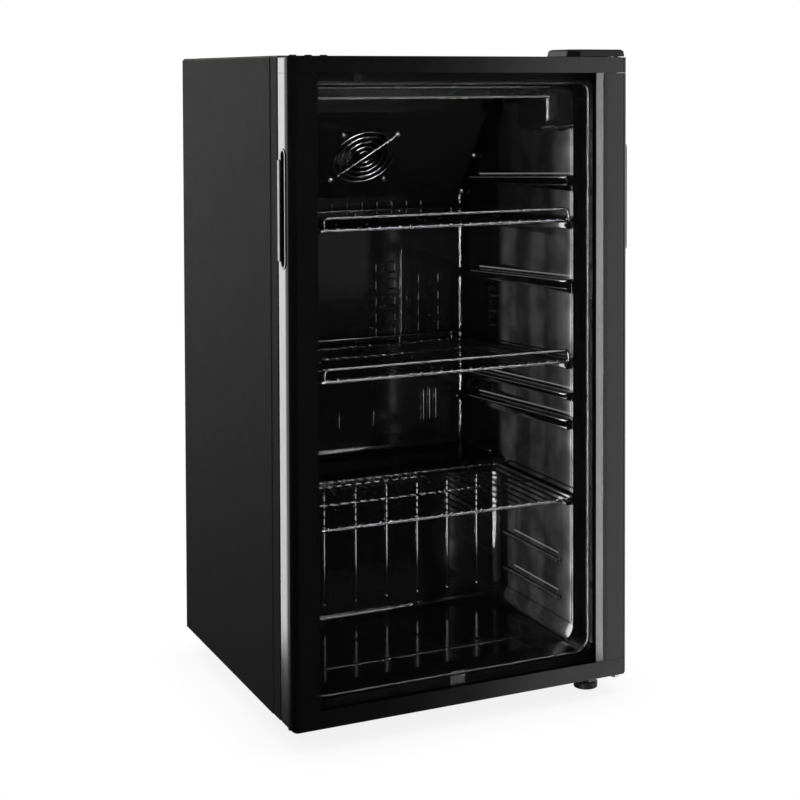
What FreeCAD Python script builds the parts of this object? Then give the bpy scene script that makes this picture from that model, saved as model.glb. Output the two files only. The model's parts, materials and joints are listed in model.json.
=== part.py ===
import FreeCAD, Part
import math
import os

# Compact glass door merchandiser: a foamed steel cabinet with a sloped evaporator
# cover, three wire shelves, a double-glazed swing door and a rear compressor bay.
# Millimetres. +Z up, the door faces -Y, +X is right seen from the front, origin on
# the floor under the centre of the bounding box.

Vec = FreeCAD.Vector
os.makedirs("parts", exist_ok=True)

# ---------------------------------------------------------------- driving sizes
# A suffix 0 or 1 marks the low or high end along the named axis.
HALF_W = 235.0                        # half width of cabinet and door
CAB_Y0 = -176.0                       # front plane of the cabinet
CAB_Z0, CAB_Z1 = 31.0, 836.0
PANEL_Y = 213.2                       # front face of the back panel
BACK_Y = 215.0                        # rear of the beads on the back panel
SHEET = 0.7                           # steel of the wrap and the back panel
BAY_Y, BAY_Z = 108.0, 222.0           # front and top of the compressor bay
SHARP = 0.01                          # radius that stands for a square corner
FIT = 0.15                            # gap between the liner and what sits in it

DOOR_Y0, DOOR_Y1 = -215.0, -179.0
DOOR_Z0, DOOR_Z1 = 27.0, 835.0
DOOR_FRONT_R, DOOR_REAR_R = 12.0, 4.0
STILE_IN = 197.0                      # inner edge of the door stiles
LOW_CAP_Z1, TOP_CAP_Z0 = 48.5, 815.0  # edges of the door caps towards the stiles
GLASS_X, GLASS_Z0, GLASS_Z1 = 208.0, 29.0, 828.0
GLASS_Y0, GLASS_Y1 = -213.2, -191.2   # outer faces of the two panes
PANE = 4.0
FRAME_X, FRAME_Y0 = 230.3, -191.05    # recess for the inner frame of the door
HINGE = (225.0, -197.0)

LINER_X, LINER_Y1, LINER_Z0, LINER_Z1 = 185.0, 178.0, 60.0, 797.0
RIM_X, RIM_Z0, RIM_Z1 = 194.0, 52.5, 800.5
FLARE_Y = -155.0                      # where the flare of the mouth ends
LINER_T = 1.2
CEILING_Z = LINER_Z1 - 0.3            # top of the pieces hung under the liner
HUMP_Y, HUMP_Z, HUMP_R = 65.0, 260.0, 23.0

SLOPE = math.radians(3.0)             # fall of the two upper shelves to the rear
SHELF_Y0 = -168.0
TOP_SHELF_Z, MID_SHELF_Z, LOW_SHELF_Z = 622.0, 436.0, 253.0   # frame wire at the front
WIRE_R = 2.25                         # frame wire of the shelves

# Hole places (x, y); the hinge holes are also mirrored to the left.
HINGE_SCREWS = [(168.0, -160.0), (188.0, -160.0), (208.0, -160.0)]
BOTTOM_SCREWS = [(214.0, -130.0), (192.0, -130.0)]
FOOT_RIGHT = (198.0, -166.0)          # carried through the hinge plate
FOOT_LEFT = (-190.0, -105.0)          # set back under the pan
REAR_FOOT = (190.0, 190.0)
COMP_X, COMP_Y = 85.0, 158.0          # compressor axis
MOUNTS = [(COMP_X + a * 62.0, COMP_Y + b * 34.0) for a in (1, -1) for b in (1, -1)]
CLAMP = (-160.0, 200.0)
UPPER_CATCH = (-129.0, 809.0)         # (x, z)
LOWER_CATCH = (4.5, 41.5)             # (x, z)

DRAIN_X, DRAIN_Y, DRAIN_Z = 100.0, 192.0, 652.0
LINES = ((50.0, 6.0), (120.0, 8.0))   # (x, bend radius) of the refrigerant lines
LINE_Y, LINE_Z, LINE_R = 200.0, 765.0, 3.0

X_AXIS, Y_AXIS, Z_AXIS, DOWN = (1, 0, 0), (0, 1, 0), (0, 0, 1), (0, 0, -1)


# ---------------------------------------------------------------- helpers
def box(x0, x1, y0, y1, z0, z1):
    return Part.makeBox(x1 - x0, y1 - y0, z1 - z0, Vec(x0, y0, z0))


def cyl(point, axis, radius, height):
    return Part.makeCylinder(radius, height, Vec(*point), Vec(*axis))


def ball(radius, x, y, z):
    return Part.makeSphere(radius, Vec(x, y, z))


def cone(radius0, radius1, height, point, axis=Z_AXIS):
    return Part.makeCone(radius0, radius1, height, Vec(*point), Vec(*axis))


def ring(x, y, z, outer_r, inner_r, height):
    """Upright ring."""
    outer = cyl((x, y, z), Z_AXIS, outer_r, height)
    return outer.cut(cyl((x, y, z - 0.5), Z_AXIS, inner_r, height + 1.0))


def drill(shape, points, z, radius, height):
    """Cut upright holes at (x, y) points, from z upwards."""
    for x, y in points:
        shape = shape.cut(cyl((x, y, z), Z_AXIS, radius, height))
    return shape


def drill_y(shape, points, y, radius, depth):
    """Cut holes along Y at (x, z) points, from y rearwards."""
    for x, z in points:
        shape = shape.cut(cyl((x, y, z), Y_AXIS, radius, depth))
    return shape


def on_side(side, points):
    return [(side * x, y) for x, y in points]


def both_sides(points):
    return on_side(1, points) + on_side(-1, points)


def fuse(items):
    solid = items[0].multiFuse(items[1:])
    # guards against a shape whose faces cannot be merged; it is then used as fused
    try:
        solid = solid.removeSplitter()
    except Exception:
        pass
    return solid


def mirror_x(shape):
    return shape.mirror(Vec(0, 0, 0), Vec(1, 0, 0))


def arc(start, middle, end):
    return Part.Arc(start, middle, end).toShape()


def near(value, target):
    return abs(value - target) < 1e-4


def edges_where(shape, test):
    """Edges whose end points all pass the test."""
    return [edge for edge in shape.Edges if all(test(v.Point) for v in edge.Vertexes)]


def circles(shape, test):
    """Full circle edges whose centre passes the test."""
    return [edge for edge in shape.Edges
            if len(edge.Vertexes) == 1 and test(edge.CenterOfMass)]


def rounded_rect(a0, a1, b0, b1, radii, place):
    """Rounded rectangle wire. radii: one value or (low-left, low-right, up-right, up-left);
    place turns plane coordinates (a, b) into a point."""
    if not isinstance(radii, tuple):
        radii = (radii,) * 4
    r0, r1, r2, r3 = radii
    inset = 1 - math.sqrt(0.5)
    edges = []

    def line(start, end):
        if math.dist(start, end) > 1e-6:
            edges.append(Part.makeLine(place(*start), place(*end)))

    def corner(start, middle, end):
        if math.dist(start, end) > 1e-6:
            edges.append(arc(place(*start), place(*middle), place(*end)))

    line((a0 + r0, b0), (a1 - r1, b0))
    corner((a1 - r1, b0), (a1 - r1 * inset, b0 + r1 * inset), (a1, b0 + r1))
    line((a1, b0 + r1), (a1, b1 - r2))
    corner((a1, b1 - r2), (a1 - r2 * inset, b1 - r2 * inset), (a1 - r2, b1))
    line((a1 - r2, b1), (a0 + r3, b1))
    corner((a0 + r3, b1), (a0 + r3 * inset, b1 - r3 * inset), (a0, b1 - r3))
    line((a0, b1 - r3), (a0, b0 + r0))
    corner((a0, b0 + r0), (a0 + r0 * inset, b0 + r0 * inset), (a0 + r0, b0))
    return Part.Wire(edges)


def wire_xz(x0, x1, z0, z1, y, radii):
    return rounded_rect(x0, x1, z0, z1, radii, lambda x, z: Vec(x, y, z))


def wire_xy(x0, x1, y0, y1, z, radii):
    return rounded_rect(x0, x1, y0, y1, radii, lambda x, y: Vec(x, y, z))


def slab_xz(x0, x1, z0, z1, y0, y1, radii):
    return Part.Face(wire_xz(x0, x1, z0, z1, y0, radii)).extrude(Vec(0, y1 - y0, 0))


def slab_xy(x0, x1, y0, y1, z0, z1, radii):
    return Part.Face(wire_xy(x0, x1, y0, y1, z0, radii)).extrude(Vec(0, 0, z1 - z0))


def slab_yz(y0, y1, z0, z1, x0, x1, radii):
    outline = rounded_rect(y0, y1, z0, z1, radii, lambda y, z: Vec(x0, y, z))
    return Part.Face(outline).extrude(Vec(x1 - x0, 0, 0))


def prism(points, vector):
    corners = [Vec(*point) for point in points]
    return Part.Face(Part.makePolygon(corners + [corners[0]])).extrude(Vec(*vector))


def hex_prism(x, y, z, radius, turn, height):
    """Upright hexagon; radius to its corners, turn in degrees."""
    corners = []
    for k in range(6):
        angle = math.radians(60 * k + turn)
        corners.append((x + radius * math.cos(angle), y + radius * math.sin(angle), z))
    return prism(corners, (0, 0, height))


def pipe(points, radius, bend):
    """Round bar swept along a polyline whose corners are bent to a radius."""
    stops = [Vec(*point) for point in points]
    edges = []
    last = stops[0]
    for before, corner, after in zip(stops, stops[1:], stops[2:]):
        back = before - corner
        ahead = after - corner
        shorter = min(back.Length, ahead.Length)
        back.normalize()
        ahead.normalize()
        angle = math.acos(max(-1.0, min(1.0, back.dot(ahead))))
        if angle > math.pi - 1e-4:
            continue
        bend_r = min(bend, 0.49 * shorter * math.tan(angle / 2))
        setback = bend_r / math.tan(angle / 2)
        start = corner + back * setback
        end = corner + ahead * setback
        inward = back + ahead
        inward.normalize()
        middle = corner + inward * (bend_r / math.sin(angle / 2) - bend_r)
        if (start - last).Length > 1e-6:
            edges.append(Part.makeLine(last, start))
        edges.append(arc(start, middle, end))
        last = end
    edges.append(Part.makeLine(last, stops[-1]))
    section = Part.Wire([Part.makeCircle(radius, stops[0], stops[1] - stops[0])])
    return Part.Solid(Part.Wire(edges).makePipeShell([section], True, False))


def loft(wires):
    solid = Part.makeLoft(wires, True, True)
    if solid.Volume < 0:
        solid.reverse()
    return solid


class TiltedFrame:
    """Axes on a tilted plane: across runs along +X, along follows the given
    direction and out is the plane's normal; side (1 or -1) picks which normal."""

    def __init__(self, origin, along, side):
        self.origin = origin
        self.along = along
        self.along.normalize()
        self.normal = Vec(0, -side * self.along.z, side * self.along.y)

    def point(self, across, along, out):
        return self.origin + Vec(1, 0, 0) * across + self.along * along + self.normal * out

    def box(self, across0, across1, along0, along1, out0, out1, radius=0.0):
        if radius > 0:
            outline = rounded_rect(across0, across1, along0, along1, radius,
                                   lambda a, b: self.point(a, b, out0))
        else:
            corners = [(across0, along0), (across1, along0), (across1, along1),
                       (across0, along1), (across0, along0)]
            outline = Part.makePolygon([self.point(a, b, out0) for a, b in corners])
        return Part.Face(outline).extrude(self.normal * (out1 - out0))

    def cyl(self, across, along, out0, out1, radius):
        start = self.point(across, along, out0)
        return Part.makeCylinder(radius, out1 - out0, start, self.normal)

    def drill(self, shape, spots, out0, out1, radius):
        for across, along in spots:
            shape = shape.cut(self.cyl(across, along, out0, out1, radius))
        return shape

    def fillet_rim(self, shape, out, radius):
        """Round the circle edges that lie in the plane at height out."""
        level = self.point(0, 0, out)
        rim = circles(shape, lambda c: abs((c - level).dot(self.normal)) < 1e-3)
        return shape.makeFillet(radius, rim)


def export_part(name, shape):
    """Write one node; a group keeps its solids separate."""
    if isinstance(shape, (list, tuple)):
        shape = Part.makeCompound([solid for item in shape for solid in item.Solids])
    elif shape.ShapeType != "Solid":
        solids = shape.Solids
        shape = solids[0] if len(solids) == 1 else Part.makeCompound(solids)
    shape.exportStep("parts/%s.step" % name)


# ---------------------------------------------------------------- tilted frames
# Evaporator cover: along runs up the slope, out points to the door and down.
COVER_FOOT = Vec(0, 174.0, 636.0)
COVER_HEAD = Vec(0, 77.0, 762.0)
COVER_L = (COVER_HEAD - COVER_FOOT).Length
COVER = TiltedFrame(COVER_FOOT, COVER_HEAD - COVER_FOOT, 1)
EARS = both_sides([(180.0, 5.0), (180.0, 74.0)])        # (across, along)

FAN_CENTRE = Vec(4.0, 127.0, 697.0)
FAN_U = FAN_CENTRE.x                                    # across
FAN_V = (FAN_CENTRE - COVER_FOOT).dot(COVER.along)      # along
FAN_PITCH = 41.25                                       # half pitch of the fan screws
FAN_HOLES = [(FAN_U + a * FAN_PITCH, FAN_V + b * FAN_PITCH)
             for a in (1, -1) for b in (1, -1)]

# Underside of the thermostat housing: along runs to the rear, out points down.
UNDER = TiltedFrame(Vec(0, -146.0, 746.0), Vec(0, 51.0, -9.0), -1)
CONTROL_X = 164.5                                       # knob and switch
KNOB_V, SWITCH_V = 17.0, 42.0                           # their places along


# ================================================================= CABINET
def outer_wrap():
    """One bent sheet, two sides and the top, with a front return."""
    jog = 0.8                # the front strip of each side sits in by this
    jog_y = -152.0
    strip_y = jog_y - 1.2
    radii = (SHARP, SHARP, 4.0, 4.0)

    def section(y0, y1, inset):
        half_x = HALF_W - inset
        return slab_xz(-half_x, half_x, CAB_Z0, CAB_Z1, y0, y1, radii)

    def hollow(half_x, y0):
        return box(-half_x, half_x, y0, 220.0, 0.0, CAB_Z1 - SHEET)

    outer = fuse([section(jog_y, PANEL_Y, 0.0), section(CAB_Y0, strip_y, jog)])
    ramp = loft([wire_xz(-(HALF_W - inset), HALF_W - inset, CAB_Z0, CAB_Z1, y, radii)
                 for inset, y in ((jog, strip_y), (0.0, jog_y))])
    outer = fuse([outer, ramp])
    inner = fuse([hollow(HALF_W - jog - SHEET, CAB_Y0 + SHEET),
                  hollow(HALF_W - SHEET, jog_y + 0.6)])
    wrap = outer.cut(inner)
    wrap = wrap.cut(slab_xz(-206.0, 206.0, -5.0, 805.0, CAB_Y0 - 1, CAB_Y0 + 2,
                            (SHARP, SHARP, 8.0, 8.0)))
    wrap = drill(wrap, both_sides(HINGE_SCREWS), CAB_Z1 - 3, 2.6, 6)
    return drill_y(wrap, [UPPER_CATCH], CAB_Y0 - 2, 2.0, 5)


def back_panel():
    """Flat sheet with three pressed beads."""
    half_x = HALF_W - 0.4
    rear = PANEL_Y + SHEET
    panel = slab_xz(-half_x, half_x, BAY_Z, CAB_Z1 - 0.4, PANEL_Y, rear,
                    (SHARP, SHARP, 4.0, 4.0))
    beads = [slab_xz(-190, 190, z, z + 14, rear, BACK_Y, 6.5) for z in (330, 520, 710)]
    return fuse([panel] + beads)


def bay_sheet():
    """Bent sheet that closes the compressor bay."""
    half_x, top, rear = 233.8, BAY_Z - 0.2, 213.1
    sheet = fuse([box(-half_x, half_x, BAY_Y - 0.8, rear, BAY_Z - 1.0, top),
                  box(-half_x, half_x, BAY_Y - 0.8, BAY_Y, 32.1, top),
                  box(-half_x, half_x, rear - 0.8, rear, BAY_Z - 12.0, top)])
    sheet = drill(sheet, [(DRAIN_X, DRAIN_Y)], 200, 4.5, 40)
    return drill(sheet, [(x, LINE_Y) for x, _ in LINES], 200, 3.6, 40)


def base_pan():
    """Pan with vents, foot threads and a front lip."""
    half_x, rear = 233.3, 212.0
    pan = fuse([box(-half_x, half_x, CAB_Y0 + 0.8, rear, CAB_Z0, CAB_Z0 + 1.0),
                box(-205.8, 205.8, CAB_Y0, CAB_Y0 + 0.8, CAB_Z0, 47.0),
                box(-half_x, half_x, rear - 0.8, rear, CAB_Z0, 43.0)])
    feet = [FOOT_RIGHT, FOOT_LEFT]
    pan = drill(pan, both_sides([REAR_FOOT] + BOTTOM_SCREWS), 20, 2.6, 30)
    pan = drill(pan, feet, 20, 4.05, 30)
    pan = drill(pan, MOUNTS, 20, 3.1, 30)
    for k in range(8):
        x = -150.0 + 22.0 * k
        pan = pan.cut(slab_xy(x - 3, x + 3, 130, 185, 20, 50, 2.9))
    pan = drill_y(pan, [LOWER_CATCH], CAB_Y0 - 2, 1.7, 5)
    pan = fuse([pan] + [ring(x, y, CAB_Z0 + 0.6, 7.5, 4.05, 7.0) for x, y in feet])
    return drill(pan, [CLAMP], 20, 2.1, 30)


# ---- liner
def cavity(grow):
    """Space inside the liner, grown outwards by a distance."""
    rear = LINER_Y1 + grow
    mouth_end = wire_xz(-(LINER_X + grow), LINER_X + grow, LINER_Z0 - grow, LINER_Z1 + grow,
                        FLARE_Y, (20.0 + grow, 20.0 + grow, 12.0 + grow, 12.0 + grow))
    main = Part.Face(mouth_end).extrude(Vec(0, rear - FLARE_Y, 0))
    # guards the fillet round the back wall; if it fails the edge stays square
    try:
        main = main.makeFillet(9.0 + grow, edges_where(main, lambda p: near(p.y, rear)))
    except Exception:
        pass
    rim = wire_xz(-(RIM_X + grow), RIM_X + grow, RIM_Z0 - grow, RIM_Z1 + grow,
                  CAB_Y0, (18.0 + grow, 18.0 + grow, 12.0 + grow, 12.0 + grow))
    flare = loft([rim, mouth_end])
    mouth = Part.Face(rim).extrude(Vec(0, -6, 0))
    space = main.fuse([flare, mouth])
    hump_y, hump_z = HUMP_Y + grow, HUMP_Z - grow
    hump = box(-230, 230, hump_y, 260, 0, hump_z)
    nose = edges_where(hump, lambda p: near(p.y, hump_y) and near(p.z, hump_z))
    return space.cut(hump.makeFillet(HUMP_R - grow, nose))


RAIL_Y0 = -152.0
RAIL_DEPTH = 9.0
SHELF_DROP = (FLARE_Y - SHELF_Y0) * math.tan(SLOPE)     # shelf front to end of flare
# (top where the flare ends, height, edge radius); the last two carry shelves
SLOPED_RAILS = [(680.0, 14.0, 3.5), (542.0, 14.0, 3.5), (391.0, 9.0, 3.0), (356.0, 14.0, 3.5),
                (TOP_SHELF_Z - WIRE_R - 0.05 - SHELF_DROP, 10.0, 3.0),
                (MID_SHELF_Z - WIRE_R - 0.05 - SHELF_DROP, 10.0, 3.0)]


def wall_rib(side, z_flare, height, radius, depth=RAIL_DEPTH, y0=RAIL_Y0,
             y1=LINER_Y1 + 0.5, slope=SLOPE):
    """Lengthwise rib on a side wall; z_flare is its top where the flare ends."""
    top = z_flare - (y0 - FLARE_Y) * math.tan(slope)
    outline = wire_xz(LINER_X - depth, LINER_X + 0.6, top - height, top, y0,
                      (radius, SHARP, SHARP, radius))
    rib = Part.Face(outline).extrude(Vec(0, y1 - y0, -(y1 - y0) * math.tan(slope)))
    return rib if side > 0 else mirror_x(rib)


def wall_ribs():
    ribs = []
    for side in (1, -1):
        for z_flare, height, radius in SLOPED_RAILS:
            ribs.append(wall_rib(side, z_flare, height, radius))
        ribs.append(wall_rib(side, LOW_SHELF_Z - WIRE_R - 0.05, 10.0, 3.0,
                             y1=HUMP_Y + 0.5, slope=0.0))
        for z in (161.0, 110.0):
            ribs.append(wall_rib(side, z, 7.0, 3.0, depth=4.0, y0=-118.0, y1=40.0, slope=0.0))
    return ribs


def hump_and_floor_ribs():
    """Upright flutes on the front of the hump and half-round floor ribs."""
    ribs = []
    flute_y, flute_z0, flute_l = HUMP_Y + 0.3, 82, 156
    for k in range(-3, 4):
        x = 10.7 + 46.8 * k
        ribs.append(cyl((x, flute_y, flute_z0), Z_AXIS, 2.3, flute_l))
        ribs.append(ball(3.0, x, flute_y, flute_z0))
        ribs.append(ball(2.3, x, flute_y, flute_z0 + flute_l))
    floor_y0, axis_z = -112, LINER_Z0 - 1.6
    ribs.append(cyl((-150, floor_y0, axis_z), X_AXIS, 3.2, 300))
    for x in (-73.0, 8.0, 73.0):
        ribs.append(cyl((x, floor_y0, axis_z), Y_AXIS, 3.0, HUMP_Y - floor_y0))
    return ribs


def back_rib(x0, x1, z0, z1, depth, radius):
    return slab_xz(x0, x1, z0, z1, LINER_Y1 - depth, LINER_Y1 + 0.6, radius)


def back_ribs():
    """Pressed pads and ribs of the back wall."""
    def pad(x0, x1, z_mid):
        return back_rib(x0, x1, z_mid - 7.5, z_mid + 7.5, 2.6, 3.4)

    ribs = []
    for z in (512, 486, 463, 441):
        ribs += [pad(91, 111, z), pad(122, 143, z)]
    for z, x0 in ((531, 2), (506, 22), (482, -10), (458, -10), (436, -4)):
        ribs += [pad(x0, 43, z), pad(54, 73, z)]
    ribs.append(back_rib(-20, -6, 474, 489, 2.6, 6.0))
    bar_x, bar_y, bar_z0, bar_l, bar_r = 84, LINER_Y1 + 0.4, 430, 126, 2.4
    ribs.append(cyl((bar_x, bar_y, bar_z0), Z_AXIS, bar_r, bar_l))
    ribs.append(ball(bar_r, bar_x, bar_y, bar_z0))
    ribs.append(ball(bar_r, bar_x, bar_y, bar_z0 + bar_l))
    for k in range(7):
        x = -26 + 23.5 * k
        ribs.append(back_rib(x - 1.5, x + 1.5, 608, 629, 3.0, 1.45))
    for x in (-16.0, 38.0):
        ribs.append(back_rib(x - 1.5, x + 1.5, 296, 322, 3.0, 1.45))
    for x in (118.0, 128.0, 138.0):
        ribs.append(back_rib(x - 1.8, x + 1.8, 300, 348, 4.0, 1.7))
    return ribs


def cover_bosses():
    """Bosses that take the screws of the evaporator cover."""
    bounds = box(-185.8, 185.8, -200, 178.6, 0, 900)
    return [COVER.cyl(across, along, -9.0, -2.1, 5.3).common(bounds)
            for across, along in EARS]


def inner_liner():
    inside, outside = cavity(0.0), cavity(LINER_T)
    flange = slab_xz(-211, 211, 43.5, 811, -175.1, -173.7, 14.0)
    bead = slab_xz(-197.6, 197.6, 49.0, 804.0, CAB_Y0, -175.0, (21.0, 21.0, 15.0, 15.0))
    skin = outside.cut(box(-300, 300, -300, -175.0, -50, 900))
    liner = skin.fuse([flange, bead]).cut(inside)
    ribs = wall_ribs() + hump_and_floor_ribs() + back_ribs() + cover_bosses()
    liner = liner.fuse([rib.common(outside) for rib in ribs])
    hole_bounds = box(-184.6, 184.6, -200, 177.5, 0, 900)
    for across, along in EARS:
        liner = liner.cut(COVER.cyl(across, along, -12.0, 0.0, 1.5).common(hole_bounds))
    liner = drill_y(liner, [(DRAIN_X, DRAIN_Z)], 170, 4.3, 14)
    liner = drill_y(liner, [(x, LINE_Z) for x, _ in LINES], 170, 3.6, 14)
    liner = drill_y(liner, [UPPER_CATCH], CAB_Y0 - 1, 2.1, 6)
    return drill_y(liner, [LOWER_CATCH], CAB_Y0 - 1, 1.8, 6)


def foam_insulation():
    """Fills the walls, with a plain cavity that clears the liner."""
    main = box(-187.0, 187.0, -160.0, 180.0, 58.0, 799.0)
    mouth = box(-196.5, 196.5, -174.8, -153.0, 50.0, 803.0)
    flange = box(-212.0, 212.0, -175.3, -173.4, 42.5, 812.0)
    hump_y, hump_z = 66.9, 258.2
    hump = box(-233.0, 233.0, hump_y, 230.0, 30.0, hump_z)
    nose = edges_where(hump, lambda p: near(p.y, hump_y) and near(p.z, hump_z))
    hump = hump.makeFillet(21.1, nose)
    foam = box(-233.3, 233.3, -174.9, 213.0, 32.1, 835.1)
    # the front strips of the wrap sit in
    foam = foam.cut(box(233.0, 240, -180, -151.0, 0, 900))
    foam = foam.cut(box(-240, -233.0, -180, -151.0, 0, 900))
    foam = foam.cut(fuse([main.cut(hump), mouth]))
    foam = foam.cut(flange)
    foam = foam.cut(box(-240, 240, BAY_Y - 0.9, 230, 20, BAY_Z - 0.1))
    foam = foam.cut(box(-208, 208, 206.6, 230, 236, 812))
    for side, foot in ((1, FOOT_RIGHT), (-1, FOOT_LEFT)):
        foam = drill(foam, [foot], 20, 9.5, 32)
        foam = drill(foam, on_side(side, HINGE_SCREWS), 822, 2.6, 20)
        foam = drill(foam, on_side(side, BOTTOM_SCREWS), 20, 2.6, 24)
    foam = drill_y(foam, [UPPER_CATCH, LOWER_CATCH], CAB_Y0 - 2, 2.6, 12)
    foam = foam.cut(pipe([(DRAIN_X, 176, DRAIN_Z), (DRAIN_X, DRAIN_Y, DRAIN_Z),
                          (DRAIN_X, DRAIN_Y, 200)], 4.4, 6.0))
    for x, bend in LINES:
        foam = foam.cut(pipe([(x, 176, LINE_Z), (x, LINE_Y, LINE_Z), (x, LINE_Y, 200)],
                             3.6, bend))
    return foam


# ---- evaporator cover
def evaporator_cover():
    """Sloped panel, side returns, top lip, four ears."""
    half_x = 175.4
    front, top = COVER_HEAD.y, CEILING_Z
    panel = COVER.box(-half_x, half_x, 0.0, COVER_L, -2.0, 0.0)
    rounded = COVER.box(-half_x, half_x, -5, COVER_L, -3, 1, 9.0)
    lip = box(-half_x + 9, half_x - 9, front, front + 1.6, 761.0, top)
    top_lip = box(-half_x + 9, half_x - 9, front, 98.0, top - 1.6, top)
    return_outline = [(172.5, 640.0), (176.6, 644.0), (176.6, 700.0), (100.0, 790.0),
                      (79.0, 790.0), (78.4, 762.5)]     # (y, z)
    returns = [prism([(x0, y, z) for y, z in return_outline], (1.6, 0, 0))
               for x0 in (167.0, -168.6)]
    ears = []
    for across, along in EARS:
        side = math.copysign(1, across)
        across0, across1 = sorted((side * 170, side * 184.6))
        ears.append(COVER.box(across0, across1, along - 6.0, along + 6.0, -2.0, 0.0, 2.5))
    cover = fuse([panel.common(rounded), lip, top_lip] + returns + ears)
    cover = COVER.drill(cover, [(FAN_U, FAN_V)], -6, 4, 44.5)
    cover = COVER.drill(cover, FAN_HOLES, -6, 4, 2.1)
    cover = COVER.drill(cover, EARS, -6, 4, 1.8)
    # slots of the return-air grille along the lower edge
    for k in range(15):
        across = -140 + 20.0 * k
        if abs(across - FAN_U) < 58:
            continue
        for along in (14.0, 21.0):
            cover = cover.cut(COVER.box(across - 6.5, across + 6.5, along, along + 3.0,
                                        -6, 4, 1.4))
    return cover.common(cavity(-FIT))


def pan_screw(across, along, out, shank_r, length, head_r, head_h):
    """Cross-slotted screw normal to the cover; out is the underside of its head."""
    top = out + head_h
    shank = COVER.cyl(across, along, out - length, out + 0.05, shank_r)
    head = COVER.fillet_rim(COVER.cyl(across, along, out, top, head_r), top, 1.1)
    for slot_u, slot_v in ((2.3, 0.4), (0.4, 2.3)):
        head = head.cut(COVER.box(across - slot_u, across + slot_u,
                                  along - slot_v, along + slot_v, top - 1.2, top + 1))
    return shank.fuse(head)


def fan_cyl(out0, out1, radius):
    return COVER.cyl(FAN_U, FAN_V, out0, out1, radius)


def fan_frame():
    """Square frame with four struts that carry the hub plate."""
    frame = COVER.box(FAN_U - 46, FAN_U + 46, FAN_V - 46, FAN_V + 46, -27.0, -2.1, 4.0)
    frame = frame.cut(fan_cyl(-25.0, 0.0, 43.0))
    frame = frame.cut(fan_cyl(-30.0, -24.0, 43.0))
    struts = [fan_cyl(-27.0, -23.0, 16.0)]
    for k in range(4):
        strut = COVER.box(FAN_U - 2.0, FAN_U + 2.0, FAN_V, FAN_V + 44.0, -27.0, -23.5)
        strut.rotate(COVER.point(FAN_U, FAN_V, 0), COVER.normal, 90 * k - 45)
        struts.append(strut)
    frame = fuse([frame] + struts)
    frame = COVER.drill(frame, FAN_HOLES, -30, 4, 2.0)
    return frame.cut(fan_cyl(-24.5, -20, 2.05))


# (radius, half angle in radians, low out, high out) of a blade from hub to tip
BLADE_SECTIONS = [(13.5, 0.30, -20.5, -8.5), (28.0, 0.27, -19.5, -9.5),
                  (41.8, 0.25, -18.5, -10.5)]


def fan_blade(turn):
    half_t = 0.55
    sections = []
    for radius, spread, low, high in BLADE_SECTIONS:
        sweep = (radius - 13.5) / 28.0 * 0.16
        corners = []
        for offset, out in ((-spread, low - half_t), (spread, high - half_t),
                            (spread, high + half_t), (-spread, low + half_t)):
            angle = turn + offset + sweep
            corners.append(COVER.point(FAN_U + radius * math.cos(angle),
                                       FAN_V + radius * math.sin(angle), out))
        sections.append(Part.makePolygon(corners + [corners[0]]))
    return loft(sections)


def fan_impeller():
    hub = COVER.fillet_rim(fan_cyl(-22.5, -6.0, 15.0), -6.0, 2.5)
    shaft = fan_cyl(-24.3, -22.0, 2.0)
    blades = [fan_blade(math.radians(360.0 / 7 * k)) for k in range(7)]
    return fuse([hub, shaft] + blades)


GUARD_R = 1.0        # wire of the fan guard
GUARD_OUT = 1.3      # height of its rings above the cover


def fan_guard():
    """Five rings, crossing wires and four screw eyes."""
    def guard_ring(across, along, ring_r, wire_r):
        return Part.makeTorus(ring_r, wire_r, COVER.point(across, along, GUARD_OUT),
                              COVER.normal)

    def spoke(stops, radius):
        """Wire through (diagonal across, diagonal along, rise) stops."""
        return pipe([COVER.point(FAN_U + a, FAN_V + b, GUARD_OUT + rise)
                     for a, b, rise in stops], radius, 2.0)

    guard = [guard_ring(FAN_U, FAN_V, ring_r, GUARD_R)
             for ring_r in (46.0, 37.0, 28.0, 19.0, 10.5)]
    end = FAN_PITCH - 2.5
    bent = end - 3.5
    guard.append(spoke([(-end, -end, 0.1), (-bent, -bent, 1.45),
                        (bent, bent, 1.45), (end, end, 0.1)], GUARD_R))
    for side in (1, -1):
        guard.append(spoke([(side * end, -side * end, 0.1),
                            (side * 6.0, -side * 6.0, -0.15)], 0.9))
    guard += [guard_ring(across, along, 3.3, 0.95) for across, along in FAN_HOLES]
    return fuse(guard)


def cover_screws():
    """Four screws in the ears, four through the fan guard."""
    return ([pan_screw(across, along, 0.05, 1.4, 6.9, 3.6, 2.0) for across, along in EARS] +
            [pan_screw(across, along, GUARD_OUT + GUARD_R + 0.75, 1.85, 14.0, 4.2, 2.2)
             for across, along in FAN_HOLES])


def evaporator_coil():
    """Finned block on four tube passes, notched for the two lines."""
    fins = [box(x, x + 0.8, 134, 174, 744, 789) for x in [-150 + 12.5 * k for k in range(25)]]
    passes = [cyl((-156, y, z), X_AXIS, 4.0, 312) for y in (145, 163) for z in (755, 778)]
    ends = [box(x0, x0 + 1.4, 132, 175, 742, 791) for x0 in (-156.0, 154.6)]
    coil = fuse(fins + passes + ends)
    for x, _ in LINES:
        coil = coil.cut(box(x - 6, x + 6, 170, 190, 755, 775))
    return coil


def drain_trough():
    trough = box(-160, 160, 169.0, 177.0, 648.0, 661.0)
    trough = trough.cut(box(-159, 159, 170.0, 176.0, 649.0, 665.0))
    trough = fuse([trough, cyl((DRAIN_X, 176.5, DRAIN_Z), Y_AXIS, 3.0, 8.0)])
    return drill_y(trough, [(DRAIN_X, DRAIN_Z)], 175.0, 2.0, 12.0)


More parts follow.
